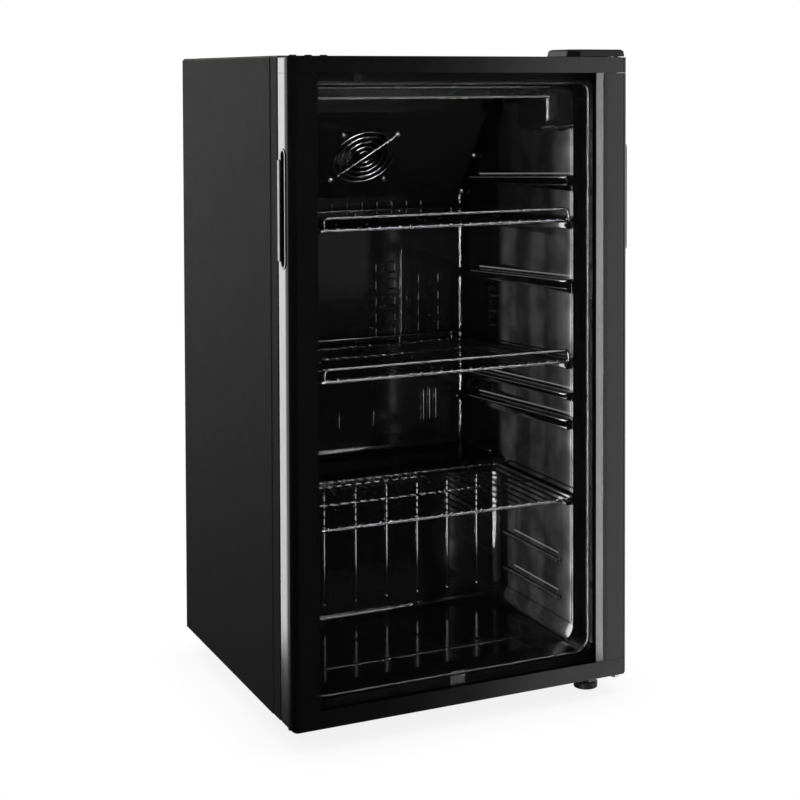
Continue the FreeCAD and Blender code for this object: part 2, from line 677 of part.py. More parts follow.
def drain_tube():
    route = [(DRAIN_X, 178.5, DRAIN_Z), (DRAIN_X, DRAIN_Y, DRAIN_Z), (DRAIN_X, DRAIN_Y, 196)]
    return pipe(route, 4.2, 6.0).cut(pipe(route, 3.05, 6.0))


# ---- thermostat and light switch
HOUSING_X0, HOUSING_X1 = 146.0, 184.7
# side outlines (y, z) of the housing and of its hollow
HOUSING_OUTER = [(-153.0, CEILING_Z), (-153.0, 753.0), (-146.0, 746.0), (-95.0, 737.0),
                 (-75.0, 741.0), (-69.0, 752.0), (-69.0, CEILING_Z)]
HOUSING_INNER = [(-151.0, 799.0), (-151.0, 754.0), (-145.4, 748.2), (-95.2, 739.3),
                 (-76.0, 743.0), (-71.0, 753.0), (-71.0, 799.0)]


def control_box(half_x, along_mid, half_along, out0, out1, radius=0.0):
    return UNDER.box(CONTROL_X - half_x, CONTROL_X + half_x, along_mid - half_along,
                     along_mid + half_along, out0, out1, radius)


def thermostat_housing():
    def extruded(outline, x0, x1):
        return prism([(x0, y, z) for y, z in outline], (x1 - x0, 0, 0))

    housing = extruded(HOUSING_OUTER, HOUSING_X0, HOUSING_X1)
    # edges of the left face, all but the top one
    rounded = [edge for edge in edges_where(housing, lambda p: near(p.x, HOUSING_X0))
               if not all(v.Point.z > 790 for v in edge.Vertexes)]
    # guards the fillet of the left face; if it fails the edges stay square
    try:
        housing = housing.makeFillet(5.0, rounded)
    except Exception:
        pass
    housing = housing.cut(extruded(HOUSING_INNER, HOUSING_X0 + 2.2, HOUSING_X1 - 2))
    housing = housing.cut(UNDER.cyl(CONTROL_X, KNOB_V, -5, 3, 12.8))
    housing = housing.cut(control_box(9.6, SWITCH_V, 6.1, -6, 3, 0.8))
    return housing.common(cavity(-FIT))


def thermostat_unit():
    unit = control_box(14, KNOB_V, 11, -22.0, -5.2, 2.0)
    return unit.cut(UNDER.cyl(CONTROL_X, KNOB_V, -12, 2, 3.05))


def thermostat_knob():
    """Fluted knob with a stem and a pointer groove."""
    knob = UNDER.fillet_rim(UNDER.cyl(CONTROL_X, KNOB_V, -4.6, 1.7, 12.0), 1.7, 1.6)
    for k in range(24):
        angle = 2 * math.pi * k / 24
        knob = knob.cut(UNDER.cyl(CONTROL_X + 12.3 * math.cos(angle),
                                  KNOB_V + 12.3 * math.sin(angle), -3.4, 5.6, 0.9))
    knob = knob.fuse(UNDER.cyl(CONTROL_X, KNOB_V, -11.5, -4.3, 3.0))
    return knob.cut(control_box(0.7, KNOB_V, 14.0, 0.5, 3.0))


def light_switch_bezel():
    bezel = control_box(11.0, SWITCH_V, 7.4, 0.05, 1.2, 1.2)
    bezel = bezel.fuse(control_box(9.5, SWITCH_V, 6.0, -7.0, 0.1, 0.8))
    bezel = bezel.cut(control_box(8.3, SWITCH_V, 4.9, -6.0, 3.0))
    return bezel.cut(Part.makeCylinder(1.0, 30, UNDER.point(CONTROL_X, SWITCH_V - 15, -2.0),
                                       UNDER.along))


def light_switch_rocker():
    """Rocker that turns about an axle along the slope direction."""
    outline = [(-7.9, -3.2), (7.9, -3.2), (7.6, 1.4), (0, 0.5), (-7.6, 1.4)]  # (across, out)
    rocker = prism([UNDER.point(CONTROL_X + across, SWITCH_V - 4.6, out)
                    for across, out in outline], UNDER.along * 9.2)
    return rocker.fuse(Part.makeCylinder(0.95, 11.6,
                                         UNDER.point(CONTROL_X, SWITCH_V - 5.8, -2.0),
                                         UNDER.along))


# ---- lamp bar across the top of the opening
LAMP_X0, LAMP_X1 = -176.0, 143.0


def lamp_housing():
    lamp = box(LAMP_X0, LAMP_X1, -164.3, -122.0, 786.6, CEILING_Z)
    lamp = lamp.cut(box(LAMP_X0 + 2, LAMP_X1 - 2, -166.0, -124.0, 780.0, 794.9))
    return lamp.cut(box(LAMP_X0 - 1, LAMP_X0 + 5, -170, -120, 795.0, 800))


def lamp_diffuser():
    """L-shaped strip in front of and under the lamp housing."""
    y0, z0 = -166.0, 785.0
    strip = box(LAMP_X0, LAMP_X1, y0, -122.0, z0, 797.0)
    strip = strip.cut(box(LAMP_X0 - 1, LAMP_X1 + 1, -164.5, -121.0, 786.4, 799))
    corner = edges_where(strip, lambda p: near(p.y, y0) and near(p.z, z0))
    return strip.makeFillet(1.3, corner)


def led_strip():
    board = box(LAMP_X0 + 8, LAMP_X1 - 8, -150, -138, 793.2, 794.8)
    leds = [box(x, x + 4.5, -146.2, -141.8, 791.8, 793.3)
            for x in [LAMP_X0 + 18 + 23.0 * k for k in range(13)]]
    return fuse([board] + leds)


# ---- catches in the front flange
def catch(x0, x1, z0, z1, y0, corner_r, centre, stem_r, stem_l):
    plate = slab_xz(x0, x1, z0, z1, y0, -176.05, corner_r)
    return fuse([plate, cyl((centre[0], -176.2, centre[1]), Y_AXIS, stem_r, stem_l)])


def upper_catch():
    return catch(-134, -124, 804.3, 814, -177.2, 1.2, UPPER_CATCH, 1.9, 6.0)


def lower_catch():
    return catch(-6, 15, 37.5, 54, -177.0, 2.0, LOWER_CATCH, 1.6, 2.2)


# ---- hinges
PLATE_Z0, PLATE_Z1 = CAB_Z1 + 0.05, 838.4     # top hinge plate
PIN_R = 3.0


def top_hinge_bracket():
    """Screwed plate with an arm, an eye and a pin."""
    x, y = HINGE
    thick = PLATE_Z1 - PLATE_Z0
    plate = slab_xy(158.0, 216.0, -176.0, -150.0, PLATE_Z0, PLATE_Z1, 4.0)
    arm = prism([(200, -176, PLATE_Z0), (216, -165, PLATE_Z0), (x + 5.2, y, PLATE_Z0),
                 (x - 5.2, y, PLATE_Z0)], (0, 0, thick))
    eye = cyl((x, y, PLATE_Z0), Z_AXIS, 5.25, thick)
    pin = cyl((x, y, 820.5), Z_AXIS, PIN_R, PLATE_Z1 - 820.5)
    return drill(fuse([plate, arm, eye, pin]), HINGE_SCREWS, 830, 2.6, 12)


def hex_screw(x, y, z, radius, length, flats, head_h, up=1):
    """Hex washer-head screw seated at z; up=1 puts the head above, -1 below."""
    head = hex_prism(x, y, z, flats / 1.732, 30, up * head_h)
    washer = cyl((x, y, z), (0, 0, up), flats * 0.66, 0.8)
    shank = cyl((x, y, z + up * 0.1), (0, 0, -up), radius, length)
    return fuse([head, washer, shank])


def hex_screws():
    """Screws of both hinges and the compressor bolts."""
    return ([hex_screw(x, y, 838.45, 2.5, 14.0, 6.0, 2.8) for x, y in HINGE_SCREWS] +
            [hex_screw(x, y, 28.25, 2.5, 12.0, 6.0, 2.8, -1) for x, y in BOTTOM_SCREWS] +
            [hex_screw(x, y, 56.55, 3.0, 27.0, 10.0, 4.0) for x, y in MOUNTS])


def hinge_hole_plugs():
    """Plugs in the left-hand hinge holes of the cabinet top."""
    return [fuse([cyl((x, y, CAB_Z1 + 0.05), Z_AXIS, 4.6, 1.2),
                  cyl((x, y, CAB_Z1 + 0.1), DOWN, 2.5, 8.0)])
            for x, y in on_side(-1, HINGE_SCREWS)]


def hinge_dome(inset, z0):
    # (x0, x1, y0, y1, z, corner radii) from the foot up
    sections = [(150.0, 232.0, -212.0, -139.0, z0, (14, 7.0, 10, 12)),
                (151.2, 231.0, -211.0, -140.4, 843.0 - inset, (13.4, 6.4, 9.4, 11.4)),
                (155.2, 228.4, -207.6, -144.4, 845.0 - inset, (10.5, 4.6, 7.0, 9.0))]
    return loft([wire_xy(x0 + inset, x1 - inset, y0 + inset, y1 - inset, z,
                         tuple(radius - inset for radius in radii))
                 for x0, x1, y0, y1, z, radii in sections])


def top_hinge_cover():
    cover = hinge_dome(0.0, CAB_Z1 + 0.1).cut(hinge_dome(1.2, CAB_Z1 - 0.5))
    return cover.cut(box(226.5, 240.0, -192.0, -184.0, 835.0, 838.6))


def bottom_hinge_bracket():
    """Plate under the pan, joggled down under the door, with a pin."""
    low_z, high_z = 22.6, 30.95
    tongue = [(186, -174.6), (231, -174.6), (231, -197.0), (229.5, -201.0), (225.0, -203.4),
              (219.0, -201.5), (196, -182)]    # (x, y)
    bracket = fuse([slab_xy(180.0, 231.0, -172.0, -118.0, 28.3, high_z, 4.0),
                    box(186.0, 231.0, -174.6, -171.9, low_z, high_z),
                    prism([(x, y, low_z) for x, y in tongue], (0, 0, 2.5)),
                    cyl((*HINGE, 18.4), Z_AXIS, PIN_R, 22.0)])
    bracket = drill(bracket, [FOOT_RIGHT], 10, 4.6, 40)
    foot_room = box(190.0, 206.0, -190.0, -157.5, 20.0, 28.2)
    bracket = bracket.cut(foot_room.common(cyl((*FOOT_RIGHT, 10), Z_AXIS, 5.0, 18)))
    return drill(bracket, BOTTOM_SCREWS, 20, 2.6, 20)


def hinge_pin_nut():
    """Nut and washer on the bottom pin."""
    nut = hex_prism(*HINGE, 18.6, 5.8, 0, 3.9)
    return [drill(nut, [HINGE], 10, 3.03, 20), ring(*HINGE, 25.15, 6.6, 3.1, 1.1)]


# ---- feet
def rear_feet():
    feet = []
    for x, y in both_sides([REAR_FOOT]):
        foot = cone(12.0, 15.0, 30.9, (x, y, 0))
        foot = foot.makeFillet(1.5, circles(foot, lambda c: c.z < 1))
        feet.append(foot.fuse(cyl((x, y, 30.0), Z_AXIS, 2.5, 8.0)))
    return feet


def front_foot(x, y):
    """Scalloped levelling foot on a stud."""
    foot = cyl((x, y, 0), Z_AXIS, 16.0, 9.0)
    foot = foot.makeFillet(3.0, circles(foot, lambda c: c.z > 5))
    foot = foot.makeFillet(1.0, circles(foot, lambda c: c.z < 1))
    for k in range(12):
        angle = 2 * math.pi * k / 12
        foot = drill(foot, [(x + 16.6 * math.cos(angle), y + 16.6 * math.sin(angle))],
                     2.0, 1.6, 10)
    return foot.fuse(cyl((x, y, 8.0), Z_AXIS, 4.0, 40.0))


# ---- compressor bay
def compressor():
    """Rounded can with a seam, a foot plate and two pipe stubs."""
    can_r = 46.0
    can = Part.makeCylinder(can_r, 118.0, Vec(0, 0, 0))
    can = can.makeFillet(24.0, circles(can, lambda c: c.z > 60))
    can = can.makeFillet(12.0, circles(can, lambda c: c.z < 60))
    can = can.fuse(Part.makeTorus(can_r, 2.0, Vec(0, 0, 62.0), Vec(*Z_AXIS)))
    can.translate(Vec(COMP_X, COMP_Y, 53.0))
    plate = slab_xy(COMP_X - 72, COMP_X + 72, COMP_Y - 44, COMP_Y + 44, 50.1, 54.0, 8.0)
    stubs = [cyl((COMP_X - 20, COMP_Y, 168), Z_AXIS, 3.0, 8),
             cyl((COMP_X + 35, COMP_Y + 20, 150), Z_AXIS, 3.0, 12)]
    return drill(fuse([can, plate] + stubs), MOUNTS, 40, 5.1, 20)


def compressor_mounts():
    """Rubber grommets."""
    mounts = []
    for x, y in MOUNTS:
        mount = fuse([cyl((x, y, CAB_Z0 + 1.05), Z_AXIS, 9.0, 18.0),
                      cyl((x, y, 49.0), Z_AXIS, 5.0, 6.0),
                      cyl((x, y, 54.1), Z_AXIS, 8.0, 2.4)])
        mounts.append(drill(mount, [(x, y)], 20, 3.1, 50))
    return mounts


def relay_cover():
    return slab_yz(COMP_Y - 16, COMP_Y + 16, 84, 134, COMP_X - 74, COMP_X - 48.3, 4.0)


def refrigerant_lines():
    # route of each line below the bay ceiling
    tails = ([(38, LINE_Y, 196), (38, 176, 190), (COMP_X - 20, COMP_Y, 190),
              (COMP_X - 20, COMP_Y, 176.2)],
             [(150, LINE_Y, 196), (160, 190, 120), (160, 190, 60)])
    trim = box(-1000, 1000, 0, 176.4, 740, 790)      # inside the cabinet
    return [pipe([(x, 150, LINE_Z), (x, LINE_Y, LINE_Z), (x, LINE_Y, 206)] + tail,
                 LINE_R, bend).cut(trim)
            for (x, bend), tail in zip(LINES, tails)]


def filter_drier():
    x, y, body_r = -35, 196, 9.0
    return fuse([cyl((x, y, 118), Z_AXIS, body_r, 70),
                 cone(body_r, LINE_R, 10, (x, y, 188)),
                 cone(LINE_R, body_r, 10, (x, y, 108)),
                 cyl((x, y, 197), Z_AXIS, LINE_R, 10),
                 cyl((x, y, 98), Z_AXIS, LINE_R, 11)])


def condenser_coil():
    """Serpentine behind the foam, climbing from run to run."""
    half_x, y, z0, pitch, runs = 180, 209.9, 262, 44, 12
    stops = [(-half_x, y, z0)]
    for k in range(runs):
        x = half_x if k % 2 == 0 else -half_x
        stops.append((x, y, z0 + pitch * k))
        if k < runs - 1:
            stops.append((x, y, z0 + pitch * (k + 1)))
    return pipe(stops, 2.4, 21.9)


def drip_tray():
    """Open tray on top of the compressor."""
    x0, x1, y0, y1, wall = COMP_X - 8, COMP_X + 46, COMP_Y - 34, COMP_Y + 46, 1.4
    tray = slab_xy(x0, x1, y0, y1, 171.1, 186, 8.0)
    return tray.cut(slab_xy(x0 + wall, x1 - wall, y0 + wall, y1 - wall, 172.5, 190, 6.6))


CORD_Y, CORD_Z = 202, 44
# (x, z) corners of the folded cord, from the clamp run to the plug
CORD_FOLDS = [(-40, 44), (-206, 44), (-206, 56), (-70, 56), (-70, 68), (-206, 68), (-206, 80),
              (-70, 80), (-70, 92), (-206, 92), (-206, 104), (-96, 104)]


def power_cord():
    """Cord from the relay cover, with its plug."""
    start = [(COMP_X - 74.2, COMP_Y, 108), (COMP_X - 92, COMP_Y, 108),
             (COMP_X - 92, COMP_Y + 40, 70)]
    cord = pipe(start + [(x, CORD_Y, z) for x, z in CORD_FOLDS], 3.4, 5.9)
    grip = cone(6.0, 13.0, 20, (-95.8, CORD_Y, 104), X_AXIS)
    plug = fuse([grip.common(box(-96, -70, 190, 212, 90, 118)),
                 box(-75.9, -62, 192, 212, 95, 113),
                 box(-62.1, -46, 201, 203, 98, 100.2),
                 box(-62.1, -46, 201, 203, 107.8, 110)])
    return fuse([cord, plug])


def cord_clamp():
    x, y = CLAMP
    clamp = slab_yz(196.5, 207.5, CAB_Z0 + 1.05, 49.5, x - 4, x + 4, 3.0)
    clamp = clamp.cut(cyl((-170, CORD_Y, CORD_Z), X_AXIS, 3.5, 20))
    return clamp.fuse(cyl((x, y, CAB_Z0 + 1.3), DOWN, 2.0, 4.0))


# ================================================================= SHELVES
def straight_wire(start, end, radius):
    run = Vec(*end) - Vec(*start)
    return Part.makeCylinder(radius, run.Length, Vec(*start), run)


def shelf(z, y_back, slope, cross_places, fence):
    """Welded wire shelf built level at its front height, then tipped about the front
    wire. cross_places: fractions of the depth where cross wires lie."""
    half_x, cross_r = 180.0, 1.9
    half_frame = pipe([(0, SHELF_Y0, z), (half_x, SHELF_Y0, z), (half_x, y_back, z),
                       (0, y_back, z)], WIRE_R, 9.0)
    wires = [half_frame, mirror_x(half_frame)]
    for k in range(25):
        x = -168 + 336.0 * k / 24
        wires.append(straight_wire((x, SHELF_Y0 - 0.9, z + 2.6), (x, y_back + 0.9, z + 2.6),
                                   1.25))
    for place in cross_places:
        y = SHELF_Y0 + (y_back - SHELF_Y0) * place
        wires.append(straight_wire((-half_x, y, z), (half_x, y, z), cross_r))
    if fence:
        fence_x, fence_y = half_x - 9, SHELF_Y0 + 0.4
        wires.append(pipe([(-fence_x, fence_y, z - 0.4), (-fence_x, fence_y, z + 15.2),
                           (fence_x, fence_y, z + 15.2), (fence_x, fence_y, z - 0.4)],
                          cross_r, 6.0))
        wires.append(straight_wire((-half_x + 5, y_back, z + 12), (half_x - 5, y_back, z + 12),
                                   cross_r))
        for x in (-161, -77, 7, 77, 161):
            wires.append(straight_wire((x, y_back + 0.3, z), (x, y_back + 0.3, z + 12.2), 1.4))
    rack = wires[0].multiFuse(wires[1:])
    rack.rotate(Vec(0, SHELF_Y0, z), Vec(1, 0, 0), -math.degrees(slope))
    return rack


# ================================================================= DOOR
GRIP_Y0, GRIP_Y1 = -206.0, -191.6
GRIP_Z0, GRIP_Z1 = 583.0, 724.0


def door_stile_right():
    """Upright profile with a glass rebate, a hollow and a grip pocket."""
    inset = 1 - math.sqrt(0.5)
    front_r, rear_r = DOOR_FRONT_R, DOOR_REAR_R

    def line(start, end):
        return Part.makeLine(Vec(*start, 0), Vec(*end, 0))

    front_arc = arc(Vec(HALF_W - front_r, DOOR_Y0, 0),
                    Vec(HALF_W - front_r * inset, DOOR_Y0 + front_r * inset, 0),
                    Vec(HALF_W, DOOR_Y0 + front_r, 0))
    rear_arc = arc(Vec(HALF_W, DOOR_Y1 - rear_r, 0),
                   Vec(HALF_W - rear_r * inset, DOOR_Y1 - rear_r * inset, 0),
                   Vec(HALF_W - rear_r, DOOR_Y1, 0))
    rebate = [(HALF_W - rear_r, DOOR_Y1), (FRAME_X, DOOR_Y1), (FRAME_X, FRAME_Y0),
              (GLASS_X + 0.2, FRAME_Y0), (GLASS_X + 0.2, GLASS_Y0 - 0.05),
              (STILE_IN, GLASS_Y0 - 0.05), (STILE_IN, DOOR_Y0)]   # (x, y)
    edges = [line((STILE_IN, DOOR_Y0), (HALF_W - front_r, DOOR_Y0)), front_arc,
             line((HALF_W, DOOR_Y0 + front_r), (HALF_W, DOOR_Y1 - rear_r)), rear_arc]
    edges += [line(start, end) for start, end in zip(rebate, rebate[1:])]
    z0, z1 = LOW_CAP_Z1 + 0.3, TOP_CAP_Z0 - 0.3
    stile = Part.Face(Part.Wire(edges)).extrude(Vec(0, 0, z1 - z0))
    stile.translate(Vec(0, 0, z0))
    stile = stile.cut(box(199.6, 200.3, DOOR_Y0 - 1, DOOR_Y0 + 0.5, 0, 900))
    stile = stile.cut(box(212.0, 231.0, -210.5, -193.5, 0, 900))
    return stile.cut(slab_yz(GRIP_Y0 - 0.1, GRIP_Y1 + 0.1, GRIP_Z0 - 0.1, GRIP_Z1 + 0.1,
                             217.0, 240.0, 7.2))


def door_stile_left():
    return mirror_x(door_stile_right())


def door_grips():
    """Recessed cup with a lip and a raised fin, one on each edge of the door."""
    lip_x = HALF_W + 0.05
    cup = slab_yz(GRIP_Y0, GRIP_Y1, GRIP_Z0, GRIP_Z1, 217.4, HALF_W + 0.5, 7.15)
    lip = slab_yz(GRIP_Y0 - 1.2, GRIP_Y1 + 1.4, GRIP_Z0 - 1.4, GRIP_Z1 + 1.4,
                  lip_x, HALF_W + 0.9, 8.4)
    fin = slab_yz(-191.0, -184.0, GRIP_Z0 + 7, GRIP_Z1 - 12, lip_x, HALF_W + 2.0, 3.2)
    grip = fuse([cup, lip, fin])
    grip = grip.cut(slab_yz(GRIP_Y0 + 1.3, GRIP_Y1 - 1.3, GRIP_Z0 + 1.3, GRIP_Z1 - 1.3,
                            218.8, 240.0, 5.8))
    return [grip, mirror_x(grip)]


def door_cap(z_span, trim_span, trim_radii, glass_span, frame_span, bush_z, bush_l):
    """Cap across the stiles. Spans are (z0, z1): the cap, the outline that rounds its
    corners, the glass pocket and the frame pocket."""
    cap = slab_xy(-HALF_W, HALF_W, DOOR_Y0, DOOR_Y1, *z_span,
                  (DOOR_FRONT_R, DOOR_FRONT_R, DOOR_REAR_R, DOOR_REAR_R))
    cap = cap.common(slab_xz(-HALF_W, HALF_W, *trim_span, DOOR_Y0 - 1, DOOR_Y1 + 1,
                             trim_radii))
    cap = cap.cut(box(-GLASS_X - 0.2, GLASS_X + 0.2, GLASS_Y0 - 0.05, FRAME_Y0, *glass_span))
    cap = cap.cut(box(-FRAME_X, FRAME_X, FRAME_Y0 - 0.01, DOOR_Y1 + 1, *frame_span))
    return drill(cap, both_sides([HINGE]), bush_z, 5.03, bush_l)


def door_cap_top():
    z0, z1 = TOP_CAP_Z0, DOOR_Z1
    return door_cap((z0, z1), (z0 - 30, z1), (SHARP, SHARP, 3.0, 3.0),
                    (z0 - 1, GLASS_Z1 + 0.2), (z0 - 1, 833.3), 818.0, 20)


def door_cap_bottom():
    z0, z1 = DOOR_Z0, LOW_CAP_Z1
    return door_cap((z0, z1), (z0, z1 + 30), (9.0, 9.0, SHARP, SHARP),
                    (GLASS_Z0 - 0.2, z1 + 1), (28.6, z1 + 1), 20.0, 24.0)


def hinge_bushes():
    top = fuse([cyl((*HINGE, 818.5), Z_AXIS, 5.0, 16.5),
                cyl((*HINGE, 835.05), Z_AXIS, 6.5, 0.5),
                cyl((*HINGE, 834.0), Z_AXIS, 5.0, 1.2)])
    bottom = fuse([cyl((*HINGE, 26.4), Z_AXIS, 6.5, 0.55),
                   cyl((*HINGE, 26.4), Z_AXIS, 5.0, 17.0)])
    return [drill(top, [HINGE], 819.8, 3.04, 20), drill(bottom, [HINGE], 20.0, 3.04, 21.4)]


def door_hole_plugs():
    """Plugs in the left-hand bush holes, top and bottom."""
    x, y = -HINGE[0], HINGE[1]
    return [fuse([cyl((x, y, flange_z), Z_AXIS, 6.5, flange_t),
                  cyl((x, y, stem_z), Z_AXIS, 4.9, 9.2)])
            for flange_z, flange_t, stem_z in ((835.05, 0.6, 826.0), (26.3, 0.65, 26.4))]


def glass_outer():
    return box(-GLASS_X, GLASS_X, GLASS_Y0, GLASS_Y0 + PANE, GLASS_Z0, GLASS_Z1)


def glass_inner():
    return box(-GLASS_X, GLASS_X, GLASS_Y1 - PANE, GLASS_Y1, GLASS_Z0, GLASS_Z1)


def ring_frame(outer, inner, y0, y1, outer_r=SHARP, inner_r=SHARP):
    """Rectangular frame; outer and inner are (half width, z0, z1)."""
    body = slab_xz(-outer[0], *outer, y0, y1, outer_r)
    return body.cut(slab_xz(-inner[0], *inner, y0 - 1, y1 + 1, inner_r))


GAP_Y0, GAP_Y1 = GLASS_Y0 + PANE + 0.05, GLASS_Y1 - PANE - 0.05   # between the panes


def glass_spacer():
    return ring_frame((203.4, 33.6, 823.4), (STILE_IN, 40.0, 817.0), GAP_Y0, GAP_Y1)


def glass_edge_seal():
    return ring_frame((GLASS_X, GLASS_Z0, GLASS_Z1), (203.5, 33.5, 823.5), GAP_Y0, GAP_Y1)


def door_inner_frame():
    return ring_frame((230.1, 28.9, 833.1), (200.5, 38.0, 819.0), -191.0, DOOR_Y1 - 0.1,
                      3.0, 2.0)


def door_gasket():
    """Gasket with a channel for the magnets."""
    gasket = ring_frame((212.5, 29.6, 827.0), (204.5, 37.2, 819.4), DOOR_Y1, -176.15, 4.0, 2.0)
    return gasket.cut(ring_frame((211.0, 31.0, 825.6), (206.0, 35.8, 820.8),
                                 -179.2, -177.25, 2.5, 1.0))


def gasket_magnets():
    # (x0, x1, z0, z1) of the bottom, top, right and left strips
    strips = [(-204.0, 204.0, 31.3, 35.5), (-204.0, 204.0, 821.1, 825.3),
              (206.3, 210.7, 38.0, 818.5), (-210.7, -206.3, 38.0, 818.5)]
    return [box(x0, x1, -178.9, -177.35, z0, z1) for x0, x1, z0, z1 in strips]


# ================================================================= EXPORT
# Each function here is named after the node it builds.
for build in (outer_wrap, back_panel, bay_sheet, base_pan, inner_liner, foam_insulation,
              evaporator_cover, fan_frame, fan_impeller, fan_guard, cover_screws,
              evaporator_coil, drain_trough, drain_tube, thermostat_housing,
              thermostat_unit, thermostat_knob, light_switch_bezel, light_switch_rocker,
              lamp_housing, lamp_diffuser, led_strip, upper_catch, lower_catch,
              top_hinge_bracket, hinge_hole_plugs, top_hinge_cover, bottom_hinge_bracket,
              hinge_pin_nut, rear_feet, compressor, compressor_mounts, hex_screws,
              relay_cover, refrigerant_lines, filter_drier, condenser_coil, drip_tray,
              power_cord, cord_clamp, door_stile_right, door_stile_left, door_grips,
              door_cap_top, door_cap_bottom, hinge_bushes, door_hole_plugs, glass_outer,
              glass_inner, glass_spacer, glass_edge_seal, door_inner_frame, door_gasket,
              gasket_magnets):
    export_part(build.__name__, build())

export_part("front_foot_right", front_foot(*FOOT_RIGHT))
export_part("front_foot_left", front_foot(*FOOT_LEFT))
export_part("shelf_top", shelf(TOP_SHELF_Z, 168.0, SLOPE, (0.33, 0.66), True))
export_part("shelf_middle", shelf(MID_SHELF_Z, 168.0, SLOPE, (0.33, 0.66), True))
export_part("shelf_bottom", shelf(LOW_SHELF_Z, 58.5, 0.0, (0.5,), False))
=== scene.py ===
import math
import bpy
import numpy as np
from mathutils import Matrix, Vector
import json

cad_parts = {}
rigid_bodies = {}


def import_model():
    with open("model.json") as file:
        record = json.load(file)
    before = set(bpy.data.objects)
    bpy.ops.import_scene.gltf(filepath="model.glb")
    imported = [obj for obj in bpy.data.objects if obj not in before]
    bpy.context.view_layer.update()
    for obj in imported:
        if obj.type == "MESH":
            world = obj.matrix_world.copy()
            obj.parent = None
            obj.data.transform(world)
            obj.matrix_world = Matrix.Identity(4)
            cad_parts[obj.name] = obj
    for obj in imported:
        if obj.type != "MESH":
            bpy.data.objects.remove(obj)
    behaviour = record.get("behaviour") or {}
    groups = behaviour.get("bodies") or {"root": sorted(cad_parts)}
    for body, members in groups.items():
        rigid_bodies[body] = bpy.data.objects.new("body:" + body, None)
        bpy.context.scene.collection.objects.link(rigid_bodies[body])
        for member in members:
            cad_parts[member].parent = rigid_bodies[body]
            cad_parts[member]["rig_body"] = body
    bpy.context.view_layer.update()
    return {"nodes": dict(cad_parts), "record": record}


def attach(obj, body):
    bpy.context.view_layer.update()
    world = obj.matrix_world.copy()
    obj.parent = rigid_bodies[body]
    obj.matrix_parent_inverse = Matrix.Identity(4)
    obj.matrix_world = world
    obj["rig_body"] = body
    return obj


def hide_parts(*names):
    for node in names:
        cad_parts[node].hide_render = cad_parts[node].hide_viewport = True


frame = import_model()
NODES = frame["nodes"]
SLOT_OF = {s["node"]: s["material_slot"] for s in frame["record"]["subparts"]}
BODY_OF = {n: o["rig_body"] for n, o in NODES.items()}
scene = bpy.context.scene
scene.view_settings.view_transform = "Standard"
scene.view_settings.look = "None"
scene.cycles.use_denoising = True
scene.cycles.max_bounces = 10
scene.cycles.transparent_max_bounces = 24
scene.cycles.sample_clamp_indirect = 0.25
scene.cycles.use_light_tree = False
M = 0.001


# ------------------------------------------------------------------ node tools
class Nt:
    def __init__(self, tree):
        self.t = tree
        self.n = tree.nodes
        self.l = tree.links

    def add(self, kind, **kw):
        n = self.n.new(kind)
        for k, v in kw.items():
            setattr(n, k, v)
        return n

    def link(self, a, b):
        self.l.new(a, b)

    def val(self, sock, v):
        if isinstance(v, bpy.types.NodeSocket):
            self.l.new(v, sock)
        else:
            sock.default_value = v

    def math(self, op, a, b=0.0, c=None, clamp=False):
        n = self.add("ShaderNodeMath", operation=op, use_clamp=clamp)
        self.val(n.inputs[0], a)
        self.val(n.inputs[1], b)
        if c is not None:
            self.val(n.inputs[2], c)
        return n.outputs[0]

    def smooth(self, v, lo, hi, a=0.0, b=1.0):
        n = self.add("ShaderNodeMapRange", interpolation_type="SMOOTHSTEP")
        self.val(n.inputs["Value"], v)
        self.val(n.inputs["From Min"], lo)
        self.val(n.inputs["From Max"], hi)
        self.val(n.inputs["To Min"], a)
        self.val(n.inputs["To Max"], b)
        return n.outputs[0]

    def lin(self, v, lo, hi, a=0.0, b=1.0):
        n = self.add("ShaderNodeMapRange")
        self.val(n.inputs["Value"], v)
        self.val(n.inputs["From Min"], lo)
        self.val(n.inputs["From Max"], hi)
        self.val(n.inputs["To Min"], a)
        self.val(n.inputs["To Max"], b)
        return n.outputs[0]

    def mix(self, f, a, b):
        n = self.add("ShaderNodeMix", data_type="RGBA")
        self.val(n.inputs[0], f)
        self.val(n.inputs[6], a)
        self.val(n.inputs[7], b)
        return n.outputs[2]

    def noise(self, vec, scale, detail=2.0, rough=0.5):
        n = self.add("ShaderNodeTexNoise")
        self.l.new(vec, n.inputs["Vector"])
        n.inputs["Scale"].default_value = scale
        n.inputs["Detail"].default_value = detail
        n.inputs["Roughness"].default_value = rough
        return n.outputs[0]


def rgba(c, k=1.0):
    if isinstance(c, (int, float)):
        c = (c, c, c)
    return (c[0] * k, c[1] * k, c[2] * k, 1.0)


